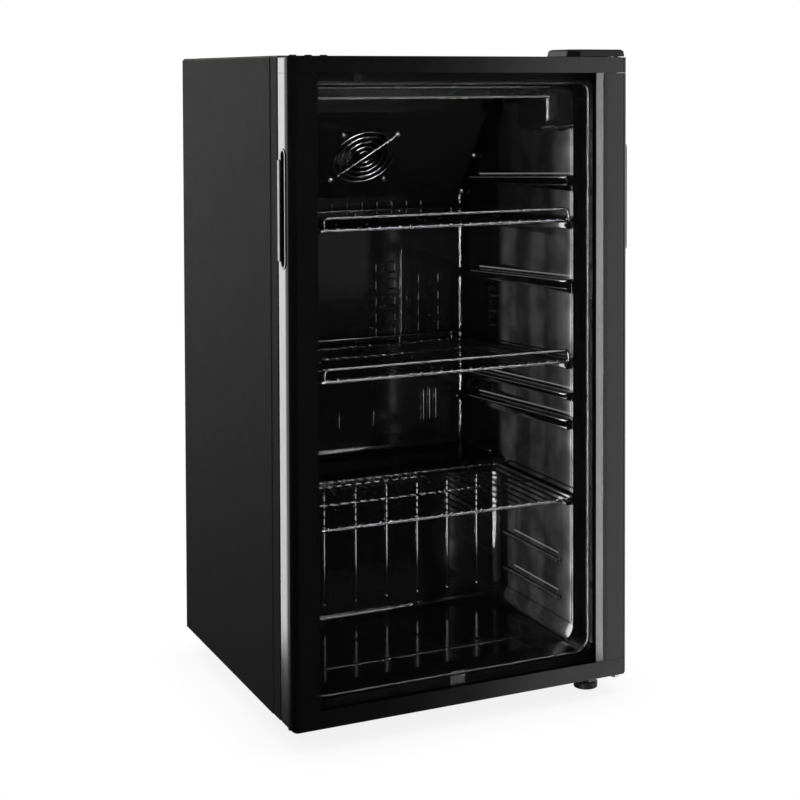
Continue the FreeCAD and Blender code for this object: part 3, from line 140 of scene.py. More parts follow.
def material(name, col, rough=0.4, metal=0.0, spec=0.5, var=0.12, vscale=18.0, rvar=0.06, rscale=40.0,
             bump=0.0, bscale=900.0, bdist=0.0002, coat=0.0, coat_rough=0.1, col2=None, aniso=0.0,
             sub=0.0, bevel=0.0, stretch=None, emit=0.0):
    m = bpy.data.materials.new(name)
    m.use_nodes = True
    t = Nt(m.node_tree)
    bsdf = t.n["Principled BSDF"]
    tc = t.add("ShaderNodeTexCoord")
    vec = tc.outputs["Object"]
    if stretch:
        mp = t.add("ShaderNodeMapping")
        t.link(vec, mp.inputs["Vector"])
        mp.inputs["Scale"].default_value = stretch
        vec = mp.outputs[0]
    a = t.noise(vec, vscale, 3.0)
    f = t.lin(a, 0.3, 0.7)
    c = t.mix(f, rgba(col, 1 - var), rgba(col2 if col2 is not None else col, 1 + var))
    t.link(c, bsdf.inputs["Base Color"])
    b = t.noise(vec, rscale, 4.0, 0.6)
    r = t.lin(b, 0.3, 0.7, max(rough - rvar, 0.02), rough + rvar)
    t.link(r, bsdf.inputs["Roughness"])
    bsdf.inputs["Metallic"].default_value = metal
    bsdf.inputs["Specular IOR Level"].default_value = spec
    if coat:
        bsdf.inputs["Coat Weight"].default_value = coat
        bsdf.inputs["Coat Roughness"].default_value = coat_rough
    nrm = None
    if bevel:
        bv = t.add("ShaderNodeBevel", samples=4)
        bv.inputs["Radius"].default_value = bevel
        nrm = bv.outputs[0]
    if bump:
        g = t.noise(vec, bscale, 2.0)
        bp = t.add("ShaderNodeBump")
        bp.inputs["Strength"].default_value = bump
        bp.inputs["Distance"].default_value = bdist
        t.link(g, bp.inputs["Height"])
        if nrm is not None:
            t.link(nrm, bp.inputs["Normal"])
        nrm = bp.outputs[0]
    if nrm is not None:
        t.link(nrm, bsdf.inputs["Normal"])
        if coat:
            t.link(nrm, bsdf.inputs["Coat Normal"])
    if emit:
        bsdf.inputs["Emission Color"].default_value = (1, 1, 1, 1)
        bsdf.inputs["Emission Strength"].default_value = emit
    return m


MAT = {}
MAT["wrap_paint"] = material("wrap_paint", 0.012, 0.5, spec=0.14, var=0.05, rvar=0.02, bump=0.10, bscale=2200, bdist=0.0001)
MAT["galvanised"] = material("galvanised", (0.42, 0.43, 0.44), 0.38, metal=0.9, var=0.18, vscale=60, rvar=0.12, rscale=90)
MAT["pan_paint"] = material("pan_paint", 0.02, 0.45, var=0.1)
MAT["foam"] = material("foam", (0.62, 0.55, 0.36), 0.85, var=0.1, vscale=80, bump=0.4, bscale=700)
MAT["liner_plastic"] = material("liner_plastic", 0.0009, 0.10, spec=0.6, var=0.2, rvar=0.025, rscale=14, bevel=0.0012)
MAT["cover_plastic"] = material("cover_plastic", 0.0022, 0.22, spec=0.5, var=0.15, rvar=0.03, rscale=20)
MAT["screw_steel"] = material("screw_steel", (0.62, 0.62, 0.63), 0.25, metal=1.0, var=0.1, rvar=0.08)
MAT["fan_plastic"] = material("fan_plastic", 0.002, 0.35, var=0.1)
MAT["impeller_plastic"] = material("impeller_plastic", 0.0015, 0.5, spec=0.2, var=0.1)
MAT["chrome_wire"] = material("chrome_wire", (0.34, 0.34, 0.345), 0.20, metal=1.0, var=0.1, rvar=0.06)
MAT["shelf_wire"] = material("shelf_wire", (0.12, 0.12, 0.124), 0.22, metal=1.0, var=0.15, rvar=0.06, vscale=60)
MAT["fin_aluminium"] = material("fin_aluminium", (0.6, 0.61, 0.62), 0.35, metal=1.0, var=0.1)
MAT["spacer_aluminium"] = material("spacer_aluminium", (0.098, 0.098, 0.099), 0.6, metal=0.0, var=0.35, vscale=700, bump=0.6, bscale=1200, bdist=0.0004)
MAT["grey_plastic"] = material("grey_plastic", 0.0012, 0.22, var=0.1, bevel=0.002)
MAT["diffuser_plastic"] = material("diffuser_plastic", (0.001, 0.001, 0.001), 0.2, spec=0.18, var=0.2, vscale=500, bump=0.9, bscale=800, bdist=0.0008)
MAT["lens_edge"] = material("lens_edge", (0.034, 0.034, 0.034), 0.25, var=0.3, vscale=90)
MAT["circuit_board"] = material("circuit_board", (0.05, 0.16, 0.07), 0.5, var=0.3, vscale=200)
MAT["hinge_steel"] = material("hinge_steel", (0.25, 0.25, 0.25), 0.35, metal=1.0, var=0.12)
MAT["door_plastic"] = material("door_plastic", 0.0065, 0.2, spec=0.5, var=0.05, rvar=0.02, bump=0.06, bscale=2200, bdist=0.0001)
MAT["grip_plastic"] = material("grip_plastic", 0.008, 0.32, var=0.08)
MAT["butyl_seal"] = material("butyl_seal", 0.006, 0.6, var=0.1, vscale=200)
MAT["rubber"] = material("rubber", 0.010, 0.6, var=0.1, vscale=120)
MAT["cord_rubber"] = material("cord_rubber", 0.012, 0.55, var=0.1, vscale=120)
MAT["magnet"] = material("magnet", 0.03, 0.6, var=0.2, vscale=300)
MAT["nylon"] = material("nylon", 0.015, 0.45, var=0.1)
MAT["knob_plastic"] = material("knob_plastic", 0.004, 0.35, var=0.1)
MAT["foot_plastic"] = material("foot_plastic", 0.010, 0.45, var=0.1)
MAT["compressor_paint"] = material("compressor_paint", 0.012, 0.3, var=0.1)
MAT["copper"] = material("copper", (0.62, 0.30, 0.17), 0.3, metal=1.0, var=0.2, vscale=60)
MAT["condenser_steel"] = material("condenser_steel", 0.03, 0.4, var=0.15)


def glass_material():
    m = bpy.data.materials.new("glass")
    m.use_nodes = True
    t = Nt(m.node_tree)
    t.n.remove(t.n["Principled BSDF"])
    out = t.n["Material Output"]
    tr = t.add("ShaderNodeBsdfTransparent")
    tc = t.add("ShaderNodeTexCoord")
    nz = t.noise(tc.outputs["Object"], 6.0, 2.0)
    tint = t.mix(t.lin(nz, 0.3, 0.7), (0.968, 0.968, 0.968, 1), (0.978, 0.978, 0.978, 1))
    t.link(tint, tr.inputs["Color"])
    gl = t.add("ShaderNodeBsdfGlossy")
    gl.inputs["Roughness"].default_value = 0.01
    fr = t.add("ShaderNodeFresnel")
    fr.inputs["IOR"].default_value = 1.45
    fac = t.math("MULTIPLY", fr.outputs[0], 0.04)
    lp = t.add("ShaderNodeLightPath")
    cam = t.math("SUBTRACT", 1.0, lp.outputs["Is Shadow Ray"])
    fac = t.math("MULTIPLY", fac, cam)
    mx = t.add("ShaderNodeMixShader")
    t.link(fac, mx.inputs[0])
    t.link(tr.outputs[0], mx.inputs[1])
    t.link(gl.outputs[0], mx.inputs[2])
    t.link(mx.outputs[0], out.inputs["Surface"])
    return m


MAT["glass"] = glass_material()


def lip_material_painted_sheen():
    """Front flange of the liner: satin, with a painted highlight along its right side and a painted reflection at the
    left of its top side.
    """
    m = material("flange_lip", 0.001, 0.3, var=0.1)
    t = Nt(m.node_tree)
    bsdf = t.n["Principled BSDF"]
    tc = t.add("ShaderNodeTexCoord")
    sp = t.add("ShaderNodeSeparateXYZ")
    t.link(tc.outputs["Object"], sp.inputs[0])
    x, y, z = sp.outputs
    # painted highlight: base colour raised along the right side (x > 0.192) and, as a painted reflection, at the left
    # of the top side
    side = t.smooth(x, 0.192, 0.197)
    top = t.math("MULTIPLY", t.smooth(z, 0.795, 0.802), t.smooth(x, -0.165, -0.045, 1.0, 0.0))
    nz = t.lin(t.noise(tc.outputs["Object"], 30.0, 2.0), 0.3, 0.7, 0.85, 1.15)
    k = t.math("ADD", t.math("MULTIPLY", side, 0.015), t.math("MULTIPLY", top, 0.022))
    k = t.math("ADD", t.math("MULTIPLY", k, nz), 0.0008)
    cc = t.add("ShaderNodeCombineColor")
    for i in range(3):
        t.link(k, cc.inputs[i])
    t.link(cc.outputs[0], bsdf.inputs["Base Color"])
    return m


MAT["catch_plate"] = material("catch_plate", 0.045, 0.35, var=0.12, vscale=120)
for n, o in NODES.items():
    o.data.materials.clear()
    o.data.materials.append(MAT["catch_plate"] if n == "lower_catch" else MAT[SLOT_OF[n]])


# ------------------------------------------------------------------ world
def build_world():
    w = bpy.data.worlds.new("studio")
    scene.world = w
    w.use_nodes = True
    t = Nt(w.node_tree)
    bg = t.n["Background"]
    out = t.n["World Output"]
    tc = t.add("ShaderNodeTexCoord")
    sp = t.add("ShaderNodeSeparateXYZ")
    t.link(tc.outputs["Generated"], sp.inputs[0])
    x, y, z = sp.outputs
    az = t.math("ARCTAN2", x, t.math("MULTIPLY", y, -1.0))     # 0 in front, + towards +X
    el = t.math("ARCSINE", z)
    D = math.radians

    def softbox(a0, a1, e0, e1, sa, se, k):
        fa = t.math("MULTIPLY", t.smooth(az, D(a0 - sa), D(a0 + sa)), t.smooth(az, D(a1 - sa), D(a1 + sa), 1.0, 0.0))
        fe = t.math("MULTIPLY", t.smooth(el, D(e0 - se), D(e0 + se)), t.smooth(el, D(e1 - se), D(e1 + se), 1.0, 0.0))
        return t.math("MULTIPLY", t.math("MULTIPLY", fa, fe), k)

    base = t.smooth(z, -0.45, 0.25, 0.01, 0.08)
    parts = [base,
             softbox(-176, -140, -9, 40, 8, 12, 1.0),   # behind, left
             softbox(-180, 180, 62, 90, 1, 10, 2.0)]
    s = parts[0]
    for p in parts[1:]:
        s = t.math("ADD", s, p)
    t.link(s, bg.inputs["Strength"])
    bg.inputs["Color"].default_value = (1, 1, 1, 1)
    bw = t.add("ShaderNodeBackground")
    bw.inputs["Color"].default_value = (1, 1, 1, 1)
    bw.inputs["Strength"].default_value = 1.0
    lp = t.add("ShaderNodeLightPath")
    mx = t.add("ShaderNodeMixShader")
    t.link(lp.outputs["Is Camera Ray"], mx.inputs[0])
    t.link(bg.outputs[0], mx.inputs[1])
    t.link(bw.outputs[0], mx.inputs[2])
    t.link(mx.outputs[0], out.inputs["Surface"])


build_world()

# ------------------------------------------------------------------ mesh tools
def round_path(pts, bend, n=6, closed=False):
    """Polyline whose corners are bent to a radius."""
    P = [np.array(p, float) for p in pts]
    out = []
    N = len(P)
    for i in range(N):
        if not closed and i in (0, N - 1):
            out.append(P[i])
            continue
        a, b, c = P[i - 1], P[i], P[(i + 1) % N]
        u, w = a - b, c - b
        lu, lw = np.linalg.norm(u), np.linalg.norm(w)
        u, w = u / lu, w / lw
        ang = math.acos(max(-1.0, min(1.0, float(u @ w))))
        if ang > math.pi - 1e-3:
            out.append(b)
            continue
        rr = bend[i] if isinstance(bend, (list, tuple)) else bend
        rr = min(rr, 0.49 * min(lu, lw) * math.tan(ang / 2))
        tl = rr / math.tan(ang / 2)
        bis = (u + w) / np.linalg.norm(u + w)
        cen = b + bis * (rr / math.sin(ang / 2))
        p1, p2 = b + u * tl, b + w * tl
        v1, v2 = p1 - cen, p2 - cen
        tot = math.pi - ang
        for k in range(n + 1):
            f = k / n
            v = (math.sin((1 - f) * tot) * v1 + math.sin(f * tot) * v2) / math.sin(tot)
            out.append(cen + v)
    return out


class Mesh:
    """Collects vertices and faces in millimetres."""

    def __init__(self):
        self.v, self.f = [], []

    def tube(self, pts, r, seg=12, closed=False, cap=True, radii=None):
        P = [np.array(p, float) for p in pts]
        n = len(P)
        T = []
        for i in range(n):
            if closed:
                d = P[(i + 1) % n] - P[i - 1]
            else:
                d = P[min(i + 1, n - 1)] - P[max(i - 1, 0)]
            T.append(d / np.linalg.norm(d))
        ref = np.array((0, 0, 1.0)) if abs(T[0][2]) < 0.9 else np.array((1.0, 0, 0))
        N = np.cross(T[0], ref)
        N /= np.linalg.norm(N)
        base = len(self.v)
        rings = []
        prof = []
        if cap and not closed:
            for k in (0, 1, 2):
                a = math.pi / 2 * (k + 0.35) / 3
                prof.append((0, -math.cos(a), math.sin(a)))
        for i in range(n):
            prof.append((i, 0.0, 1.0))
        if cap and not closed:
            for k in (2, 1, 0):
                a = math.pi / 2 * (k + 0.35) / 3
                prof.append((n - 1, math.cos(a), math.sin(a)))
        last = 0
        for i, off, sc in prof:
            if i != last:
                for j in range(last + 1, i + 1):
                    N = N - T[j] * float(N @ T[j])
                    N /= np.linalg.norm(N)
                last = i
            B = np.cross(T[i], N)
            rr = radii[i] if radii else r
            c = P[i] + T[i] * off * rr
            for k in range(seg):
                a = 2 * math.pi * k / seg
                self.v.append(c + (N * math.cos(a) + B * math.sin(a)) * rr * sc)
            rings.append(base + len(rings) * seg)
        m = len(rings)
        for i in range(m if closed else m - 1):
            a0, b0 = rings[i], rings[(i + 1) % m]
            for k in range(seg):
                k2 = (k + 1) % seg
                self.f.append((a0 + k, a0 + k2, b0 + k2, b0 + k))
        if not closed:
            self.f.append(tuple(rings[0] + k for k in reversed(range(seg))))
            self.f.append(tuple(rings[-1] + k for k in range(seg)))
        return self

    def blob(self, c, r, seg=8, rings=5, sq=(1, 1, 1)):
        c = np.array(c, float)
        base = len(self.v)
        self.v.append(c + np.array((0, 0, r * sq[2])))
        for i in range(1, rings):
            ph = math.pi * i / rings
            for k in range(seg):
                th = 2 * math.pi * k / seg
                self.v.append(c + np.array((r * sq[0] * math.sin(ph) * math.cos(th), r * sq[1] * math.sin(ph) * math.sin(th),
                                            r * sq[2] * math.cos(ph))))
        self.v.append(c - np.array((0, 0, r * sq[2])))
        top, bot = base, len(self.v) - 1
        for k in range(seg):
            self.f.append((top, base + 1 + k, base + 1 + (k + 1) % seg))
        for i in range(rings - 2):
            a0, b0 = base + 1 + i * seg, base + 1 + (i + 1) * seg
            for k in range(seg):
                k2 = (k + 1) % seg
                self.f.append((a0 + k, b0 + k, b0 + k2, a0 + k2))
        a0 = base + 1 + (rings - 2) * seg
        for k in range(seg):
            self.f.append((bot, a0 + (k + 1) % seg, a0 + k))
        return self

    def sweep(self, section, path, closed=True):
        """section: list of (u, w) about each path frame (origin, U, W)."""
        base = len(self.v)
        n = len(section)
        for o, U, W in path:
            for u, w in section:
                self.v.append(o + U * u + W * w)
        m = len(path)
        for i in range(m if closed else m - 1):
            a0, b0 = base + i * n, base + ((i + 1) % m) * n
            for k in range(n):
                k2 = (k + 1) % n
                self.f.append((a0 + k, a0 + k2, b0 + k2, b0 + k))
        return self

    def rotate_x(self, about_y, about_z, ang):
        c, s_ = math.cos(ang), math.sin(ang)
        for i, p in enumerate(self.v):
            y, z = p[1] - about_y, p[2] - about_z
            self.v[i] = np.array((p[0], about_y + y * c - z * s_, about_z + y * s_ + z * c))
        return self

    def obj(self, name, mat, body, slot, smooth=True):
        me = bpy.data.meshes.new(name)
        me.from_pydata([tuple(np.array(p) * M) for p in self.v], [], [tuple(int(i) for i in f) for f in self.f])
        me.validate()
        if smooth:
            me.polygons.foreach_set("use_smooth", [True] * len(me.polygons))
        me.update()
        o = bpy.data.objects.new(name, me)
        scene.collection.objects.link(o)
        me.materials.append(MAT[mat] if isinstance(mat, str) else mat)
        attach(o, body)
        return o


def loop_frames(x0, x1, z0, z1, r, y, n=8):
    """Frames round a rounded rectangle in the XZ plane: U points out of it, W is +Y."""
    rr = r if isinstance(r, (list, tuple)) else (r, r, r, r)
    cs = [(x0 + rr[0], z0 + rr[0], rr[0], math.pi), (x1 - rr[1], z0 + rr[1], rr[1], 1.5 * math.pi),
          (x1 - rr[2], z1 - rr[2], rr[2], 0.0), (x0 + rr[3], z1 - rr[3], rr[3], 0.5 * math.pi)]
    out = []
    for cx, cz, r_, a0 in cs:
        for k in range(n + 1):
            a = a0 + math.pi / 2 * k / n
            U = np.array((math.cos(a), 0, math.sin(a)))
            out.append((np.array((cx, y, cz)) + U * r_, U, np.array((0, 1.0, 0))))
    return out


# ------------------------------------------------------------------ shelves
SLOPE = math.radians(3.0)
SY0 = -168.0


def shelf(name, node, body, zf, y_back, slope, fence):
    m = Mesh()
    hx = 180.0
    m.tube(round_path([(-hx, SY0, zf), (hx, SY0, zf), (hx, y_back, zf), (-hx, y_back, zf)], 9.0, closed=True), 2.25, 14,
           closed=True)
    rng = np.random.default_rng(7)
    for k in range(25):
        x = -168 + 14.0 * k
        m.tube([(x, SY0 - 0.9, zf + 2.6), (x, -60, zf + 2.6), (x, y_back + 0.9, zf + 2.6)], 1.25, 10)
        for yy in (SY0, y_back):
            m.blob((x, yy + 0.2 * rng.normal(), zf + 1.6), 2.3, sq=(1.05, 1.1, 0.75))
    cross = [SY0 + (y_back - SY0) * t for t in ((0.33, 0.66) if y_back > 100 else (0.5,))]
    for y in cross:
        m.tube([(-hx, y, zf), (0, y, zf), (hx, y, zf)], 1.9, 12)
        for k in range(25):
            m.blob((-168 + 14.0 * k, y, zf + 1.7), 2.0, sq=(0.9, 1.1, 0.7))
        for sx in (1, -1):
            m.blob((sx * (hx - 0.6), y, zf + 0.6), 2.7, sq=(1.0, 1.15, 0.8))
    if fence:
        m.tube(round_path([(-hx + 9, SY0 + 0.4, zf), (-hx + 9, SY0 + 0.4, zf + 15.2), (hx - 9, SY0 + 0.4, zf + 15.2),
                           (hx - 9, SY0 + 0.4, zf)], 6.0), 1.9, 12)
        for sx in (1, -1):
            m.blob((sx * (hx - 9), SY0, zf + 1.4), 2.9, sq=(1, 1, 0.9))
        m.tube([(-hx + 5, y_back, zf + 12), (0, y_back, zf + 12), (hx - 5, y_back, zf + 12)], 1.9, 12)
        for x in (-161, -77, 7, 77, 161):
            m.tube([(x, y_back + 0.3, zf), (x, y_back + 0.3, zf + 12.2)], 1.4, 10)
            m.blob((x, y_back + 0.2, zf + 11.6), 2.4, sq=(1, 1, 0.8))
    m.rotate_x(SY0, zf, -slope)
    o = m.obj(name, "shelf_wire", body, "shelf_wire")
    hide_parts(node)
    return o


SH = [shelf("top_shelf_wires", "shelf_top", "top_shelf", 622.0, 168.0, SLOPE, True),
      shelf("middle_shelf_wires", "shelf_middle", "middle_shelf", 436.0, 168.0, SLOPE, True),
      shelf("bottom_shelf_wires", "shelf_bottom", "bottom_shelf", 253.0, 58.5, 0.0, False)]

# ------------------------------------------------------------------ rolled bead round the mouth of the liner
sec = [(2.2 * math.cos(a), 2.2 * math.sin(a)) for a in [2 * math.pi * k / 14 for k in range(14)]]
rim = Mesh().sweep(sec, loop_frames(-195.6, 195.6, 51.0, 802.0, (19.5, 19.5, 13.5, 13.5), -175.9, 12)).obj(
    "liner_mouth_bead", "liner_plastic", "cabinet", "liner_plastic")

# ------------------------------------------------------------------ soft inside corners of the moulded liner
def cove(m, a, b, da, db, r, n=7):
    """Concave strip in the corner of two walls, from a to b; da and db point along the walls."""
    a, b, da, db = (np.array(q, float) for q in (a, b, da, db))
    sec_ = [(0.0, 0.0)]
    arc_ = [(r - r * math.sin(t), r - r * math.cos(t)) for t in [math.pi / 2 * k / n for k in range(n + 1)]]
    base = len(m.v)
    pts = [(-0.25, -0.25), (arc_[0][0], -0.25)] + arc_ + [(-0.25, arc_[-1][1])]
    for o in (a, b):
        for u, w in pts:
            m.v.append(o + da * u + db * w)
    k = len(pts)
    for i in range(k):
        j = (i + 1) % k
        m.f.append((base + i, base + j, base + k + j, base + k + i))
    m.f.append(tuple(base + i for i in reversed(range(k))))
    m.f.append(tuple(base + k + i for i in range(k)))


cv = Mesh()
X, Y, Z = (1, 0, 0), (0, 1, 0), (0, 0, 1)
nX, nY = (-1, 0, 0), (0, -1, 0)
cove(cv, (-166, 65, 60), (166, 65, 60), nY, Z, 7.0)
for sx, d in ((1, nX), (-1, X)):
    cove(cv, (sx * 185, 65, 79), (sx * 185, 65, 240), d, nY, 8.0)
    cove(cv, (sx * 185, 86, 260), (sx * 185, 170, 260), d, Z, 8.0)
cove(cv, (-178, 178, 260), (178, 178, 260), nY, Z, 9.0)
coves = cv.obj("liner_corner_coves", "liner_plastic", "cabinet", "liner_plastic", smooth=False)
for p in coves.data.polygons:
    p.use_smooth = True
coves.data.set_sharp_from_angle(angle=math.radians(40))

# ------------------------------------------------------------------ prisms on the front of the lamp cover
pm = Mesh()
for row, zz in enumerate((788.2, 790.9, 793.6)):
    for k in range(117):
        x = -175.0 + 2.7 * k + (1.35 if row % 2 else 0.0)
        if x < 142.0:
            pm.blob((x, -166.0, zz), 1.25, 6, 4, sq=(1, 0.75, 1))
prisms = pm.obj("lamp_prisms", "diffuser_plastic", "cabinet", "diffuser_plastic", smooth=False)
le = Mesh()
le.tube([(-176, -165.4, 784.2), (0, -165.4, 784.2), (143, -165.4, 784.2)], 1.7, 12)
le.tube([(-176, -165.8, 797.0), (0, -165.8, 797.0), (143, -165.8, 797.0)], 0.8, 10)
lens = le.obj("lamp_lens_edges", "lens_edge", "cabinet", "diffuser_plastic")

# ------------------------------------------------------------------ rolled rims of the pressed pads and ribs of the back wall
pr = Mesh()
BACK = 178.0
pads = []
for zc in (512, 486, 463, 441):
    pads += [(91, 111, zc), (122, 143, zc)]
for zc, xa in ((531, 2), (506, 22), (482, -10), (458, -10), (436, -4)):
    pads += [(xa, 43, zc), (54, 73, zc)]
for xa, xb, zc in pads:
    pr.tube(round_path([(xb - 6.0, BACK - 2.5, zc + 7.1), (xb - 0.4, BACK - 2.5, zc + 7.1), (xb - 0.4, BACK - 2.5, zc - 7.1),
                        (max(xa + 3.0, xb - 15.0), BACK - 2.5, zc - 7.1)], 3.4), 1.6, 10)
for k in range(7):
    xx = -26 + 23.5 * k
    pr.tube([(xx, BACK - 2.6, 610), (xx, BACK - 2.6, 618), (xx, BACK - 2.6, 627)], 1.9, 10)
for xx in (-16.0, 38.0):
    pr.tube([(xx, BACK - 2.6, 298), (xx, BACK - 2.6, 309), (xx, BACK - 2.6, 320)], 1.8, 10)
for xx in (118.0, 128.0, 138.0):
    pr.tube([(xx, BACK - 3.4, 302), (xx, BACK - 3.4, 325), (xx, BACK - 3.4, 346)], 2.0, 10)
padrims = pr.obj("back_wall_rims", "liner_plastic", "cabinet", "liner_plastic")
fr_ = Mesh()
for sx in (1, -1):
    fr_.tube([(sx * 186.9, -152.0, 84), (sx * 186.9, -152.0, 430), (sx * 186.9, -152.0, 778)], 2.5, 14)
rounds = fr_.obj("liner_flare_rounds", "liner_plastic", "cabinet", "liner_plastic")
fl_ = Mesh()
for k in range(-3, 4):
    fx = 10.7 + 46.8 * k
    fl_.tube([(fx, 65.0, 82), (fx, 65.0, 120), (fx, 65.0, 160), (fx, 65.0, 237)], 2.6, 16, radii=[2.9, 2.6, 2.6, 2.6])
    fl_.blob((fx, 65.2, 81.5), 3.4, 14, 8)
flutes = fl_.obj("hump_flutes", "liner_plastic", "cabinet", "liner_plastic")
lp = Mesh()
lp.sweep([(-3.4, 0.0), (-3.2, -0.5), (3.2, -0.5), (3.4, 0.0), (3.2, 0.6), (-3.2, 0.6)],
         loop_frames(-200.8, 200.8, 45.8, 807.2, (24.7, 24.7, 18.7, 18.7), -175.2, 12))
lip = lp.obj("liner_flange_lip", lip_material_painted_sheen(), "cabinet", "liner_plastic", smooth=False)

# ------------------------------------------------------------------ lights for the inside
inside = bpy.data.collections.new("inside")
for n in ("inner_liner", "evaporator_cover", "cover_screws", "fan_frame", "fan_guard", "fan_impeller",
          "thermostat_housing", "thermostat_knob", "light_switch_bezel", "light_switch_rocker", "lamp_housing",
          "lamp_diffuser", "led_strip", "upper_catch", "lower_catch", "glass_spacer"):
    inside.objects.link(NODES[n])
for o in SH + [rim, prisms, coves, lens, rounds, lip]:
    inside.objects.link(o)


def panel(name, at, aim, w, h, radiance, linked=None):
    ld = bpy.data.lights.new(name, "AREA")
    ld.shape = "RECTANGLE"
    ld.size, ld.size_y = w, h
    ld.energy = radiance * w * h * math.pi
    o = bpy.data.objects.new(name, ld)
    scene.collection.objects.link(o)
    o.location = Vector(at)
    o.rotation_mode = "QUATERNION"
    o.rotation_quaternion = (Vector(aim) - Vector(at)).to_track_quat("-Z", "Y")
    o.visible_camera = False
    o.light_linking.receiver_collection = linked or inside
    return o


outside = bpy.data.collections.new("outside")
for n, o in NODES.items():
    if n not in [q.name for q in inside.objects] and n not in ("glass_outer", "glass_inner"):
        outside.objects.link(o)
panel("key_left", (-1.02, -1.50, 0.10), (0.0, 0.0, 0.10), 2.1, 2.3, 13.0)
panel("key_top", (0.75, -1.60, 1.55), (0.0, 0.0, 0.30), 1.5, 1.1, 6.5)
panel("key_low", (0.75, -1.50, -0.95), (0.0, 0.0, 0.45), 1.3, 0.7, 5.0)
panel("sheen", (0.70, -1.70, 0.46), (0.0, 0.0, 0.46), 1.1, 0.5, 0.24)


def only(name, *objs):
    c = bpy.data.collections.new(name)
    for q in objs:
        c.objects.link(q)
    return c


nothing = only("blocks_nothing", prisms)
panel("bead_glow", (-1.02, -1.50, 0.10), (0.0, 0.0, 0.10), 2.1, 2.3, 26.0, only("bead_only", rim))
g = panel("flute_glow", (-1.02, -1.50, 0.10), (0.0, 0.0, 0.10), 1.7, 2.5, 21.0, only("flutes_only", flutes))
g.light_linking.blocker_collection = nothing
g = panel("rim_glow", (-1.02, -1.50, 0.10), (0.0, 0.0, 0.10), 1.7, 2.5, 10.0, only("rims_only", padrims))
g.light_linking.blocker_collection = nothing
g = panel("flare_glow", (-0.012, 0.002, 0.40), (0.185, -0.152, 0.43), 0.17, 0.95, 5.0, only("flare_only", rounds))
g.light_linking.blocker_collection = nothing
panel("outer_right", (1.65, -1.74, 0.1), (0.0, 0.0, 0.1), 1.42, 2.6, 1.3, outside)
door_left = bpy.data.collections.new("door_left")
for n in ("door_stile_left", "door_cap_top", "door_cap_bottom", "door_grip"):
    for q, o in NODES.items():
        if q.startswith(n):
            door_left.objects.link(o)
panel("edge_rear", (-1.035, 1.196, 0.38), (-0.235, -0.19, 0.38), 0.95, 1.62, 3.2, door_left)
panel("edge_side", (-1.685, 0.486, 0.38), (-0.235, -0.19, 0.38), 1.05, 1.62, 1.9, door_left)

# soft lights that only show when the object is seen from its other sides
shell = bpy.data.collections.new("shell")
for q in outside.objects:
    if q.name not in [w.name for w in door_left.objects]:
        shell.objects.link(q)
panel("view_rear_right", (1.56, 1.56, -0.1), (0.0, 0.0, 0.4), 2.2, 2.2, 1.9, outside)
panel("view_rear_left", (-1.56, 1.56, -0.9), (0.0, 0.0, 0.4), 1.6, 0.9, 0.8, only("rear_faces", NODES["back_panel"], NODES["bay_sheet"]))
panel("view_front_left", (-1.56, -1.56, -0.1), (0.0, 0.0, 0.4), 2.2, 2.2, 1.3, shell)
panel("view_right", (2.2, 0.0, 0.1), (0.0, 0.0, 0.4), 1.5, 2.0, 0.7, outside)
panel("bay_fill", (0.30, 1.20, 0.60), (0.0, 0.10, 0.10), 0.8, 0.6, 9.0,
      only("bay_parts", *[o for n, o in NODES.items() if n.startswith((
          "compressor", "relay", "refrigerant", "filter", "condenser", "drip", "power", "cord", "drain_tube", "bay"))]))


def strip(name, x, y0, y1, z0, z1, radiance, dz=0.0):
    """Thin soft light standing close to the right wall and facing it; dz lowers its far end."""
    c = Vector((x, (y0 + y1) / 2, (z0 + z1) / 2 - dz / 2)) * M
    o = panel(name, c, c + Vector((1, 0, 0)), (y1 - y0) * M, (z1 - z0) * M, radiance)
    o.rotation_mode = "XYZ"
    # size runs along Y and size_y along Z
    o.rotation_euler = Matrix(((0, 0, -1), (1, 0, 0), (0, -1, 0))).to_euler()
    if dz:
        o.rotation_euler = (Matrix.Rotation(-math.atan2(dz, y1 - y0), 3, "X") @
                            Matrix(((0, 0, -1), (1, 0, 0), (0, -1, 0)))).to_euler()
    return o


Y0, Y1 = -133.0, 95.0


def graded(o, stops, top):
    """Emission that follows stops of (y, radiance share) along the strip, slightly uneven along its height."""
    ld = o.data
    ld.use_nodes = True
    t = Nt(ld.node_tree)
    em = t.n["Emission"]
    geo = t.add("ShaderNodeNewGeometry")
    sp = t.add("ShaderNodeSeparateXYZ")
    t.link(geo.outputs["Parametric"], sp.inputs[0])
    ramp = t.add("ShaderNodeValToRGB")
    ramp.color_ramp.interpolation = "EASE"
    els = ramp.color_ramp.elements
    while len(els) < len(stops):
        els.new(0.5)
    for e, (y, k) in zip(els, stops):
        e.position = (y - Y0) / (Y1 - Y0)
        e.color = (k / top, k / top, k / top, 1)
    t.link(sp.outputs[0], ramp.inputs[0])
    nz = t.noise(geo.outputs["Position"], 26.0, 1.0)
    k = t.math("MULTIPLY", ramp.outputs[0], t.lin(nz, 0.35, 0.65, 0.55, 1.35))
    t.link(k, em.inputs["Strength"])


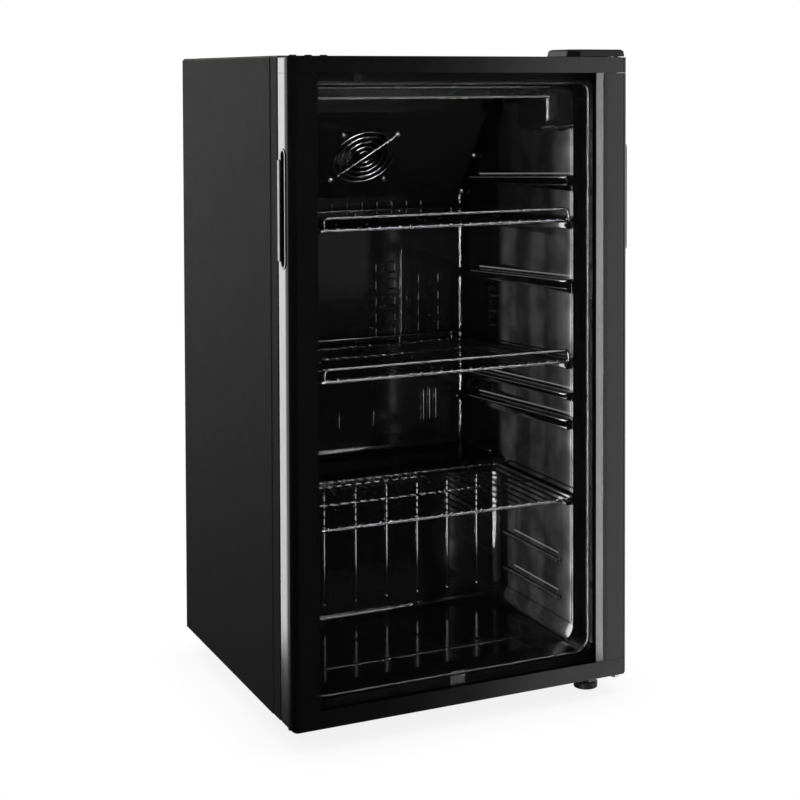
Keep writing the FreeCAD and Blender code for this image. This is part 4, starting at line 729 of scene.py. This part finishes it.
STOPS = [(-133, 7.5), (-122, 7.5), (-116, 1.2), (-106, 0.7), (-92, 0.42), (-72, 0.22), (-52, 0.15), (-36, 0.30), (-12, 0.26),
         (4, 0.12), (32, 0.12), (48, 0.26), (72, 0.26), (95, 0.02)]
TOPS = [(-133, 7.5), (-122, 7.5), (-116, 1.2), (-104, 0.6), (-90, 0.3), (-60, 0.08), (95, 0.02)]
for i, (za, zb, sl) in enumerate(((70, 338, 0.0), (359, 379, 1.0), (394, 525, 1.0), (545, 600, 1.0), (600, 663, 1.0),
                                  (683, 780, 1.0))):
    drop = (0.5 * (Y0 + Y1) + 152) * math.tan(SLOPE) * sl
    graded(strip("wall_%d" % i, 168.0, Y0, Y1, za - drop, zb - drop, 7.5), STOPS if i < 4 else TOPS, 7.5)
for i, (zt, hh) in enumerate(((680, 14), (542, 14), (391, 9), (356, 14))):
    strip("rail_light_%d" % i, 171.0, -132.0, 150.0, zt + 0.2, zt + 2.0, 1.5, 282 * math.tan(SLOPE))
for i, zt in enumerate((161, 110)):
    strip("rib_light_%d" % i, 176.0, -100.0, 30.0, zt + 0.2, zt + 2.0, 1.5)
panel("lamp_glow", (-0.016, -0.140, 0.783), (-0.016, -0.140, 0.0), 0.30, 0.012, 5.0)

# ------------------------------------------------------------------ floor
bm_v = [(-6, -6, -0.0005), (6, -6, -0.0005), (6, 6, -0.0005), (-6, 6, -0.0005)]
fm = bpy.data.meshes.new("floor")
fm.from_pydata(bm_v, [], [(0, 1, 2, 3)])
floor = bpy.data.objects.new("floor", fm)
scene.collection.objects.link(floor)
fmat = bpy.data.materials.new("floor_pale")
fmat.use_nodes = True
ft = Nt(fmat.node_tree)
ft.n.remove(ft.n["Principled BSDF"])
# painted contact shadow: the floor's even white glow is dimmed by ambient occlusion near the object
ao = ft.add("ShaderNodeAmbientOcclusion")
ao.inputs["Distance"].default_value = 0.10
ao.samples = 8
em = ft.add("ShaderNodeEmission")
ft.link(ft.smooth(ao.outputs["AO"], 0.0, 1.0, 0.86, 1.0), em.inputs["Strength"])
ft.link(em.outputs[0], ft.n["Material Output"].inputs["Surface"])
fm.materials.append(fmat)
floor.visible_diffuse = False
floor.visible_glossy = False
floor.visible_shadow = False
floor.visible_transmission = False

# ------------------------------------------------------------------ camera
cd = bpy.data.cameras.new("camera")
cam = bpy.data.objects.new("camera", cd)
scene.collection.objects.link(cam)
cd.lens = 75.19
cd.sensor_width = 36.0
loc = Vector((-0.90856, -2.07105, 0.80988))
right = Vector((0.89868032, -0.43859997, -0.0019371))
up = Vector((0.01700014, 0.03041899, 0.99939266))
fwd = Vector((0.43827466, 0.89816744, -0.03479321))
cam.matrix_world = Matrix(((right.x, up.x, -fwd.x, loc.x), (right.y, up.y, -fwd.y, loc.y),
                           (right.z, up.z, -fwd.z, loc.z), (0, 0, 0, 1)))
cd.clip_start = 0.05
cd.clip_end = 60.0
for name, value in (("shift_x", -0.0811), ("shift_y", -0.3311)):
    d = cd.driver_add(name).driver
    d.type = "SCRIPTED"
    v = d.variables.new()
    v.name = "cx"
    v.type = "SINGLE_PROP"
    v.targets[0].id = cam
    v.targets[0].data_path = "location[0]"
    d.expression = "%.4f if abs(cx + 0.90856) < 0.001 else 0.0" % value
scene.camera = cam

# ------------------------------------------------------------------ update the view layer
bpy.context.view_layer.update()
import json
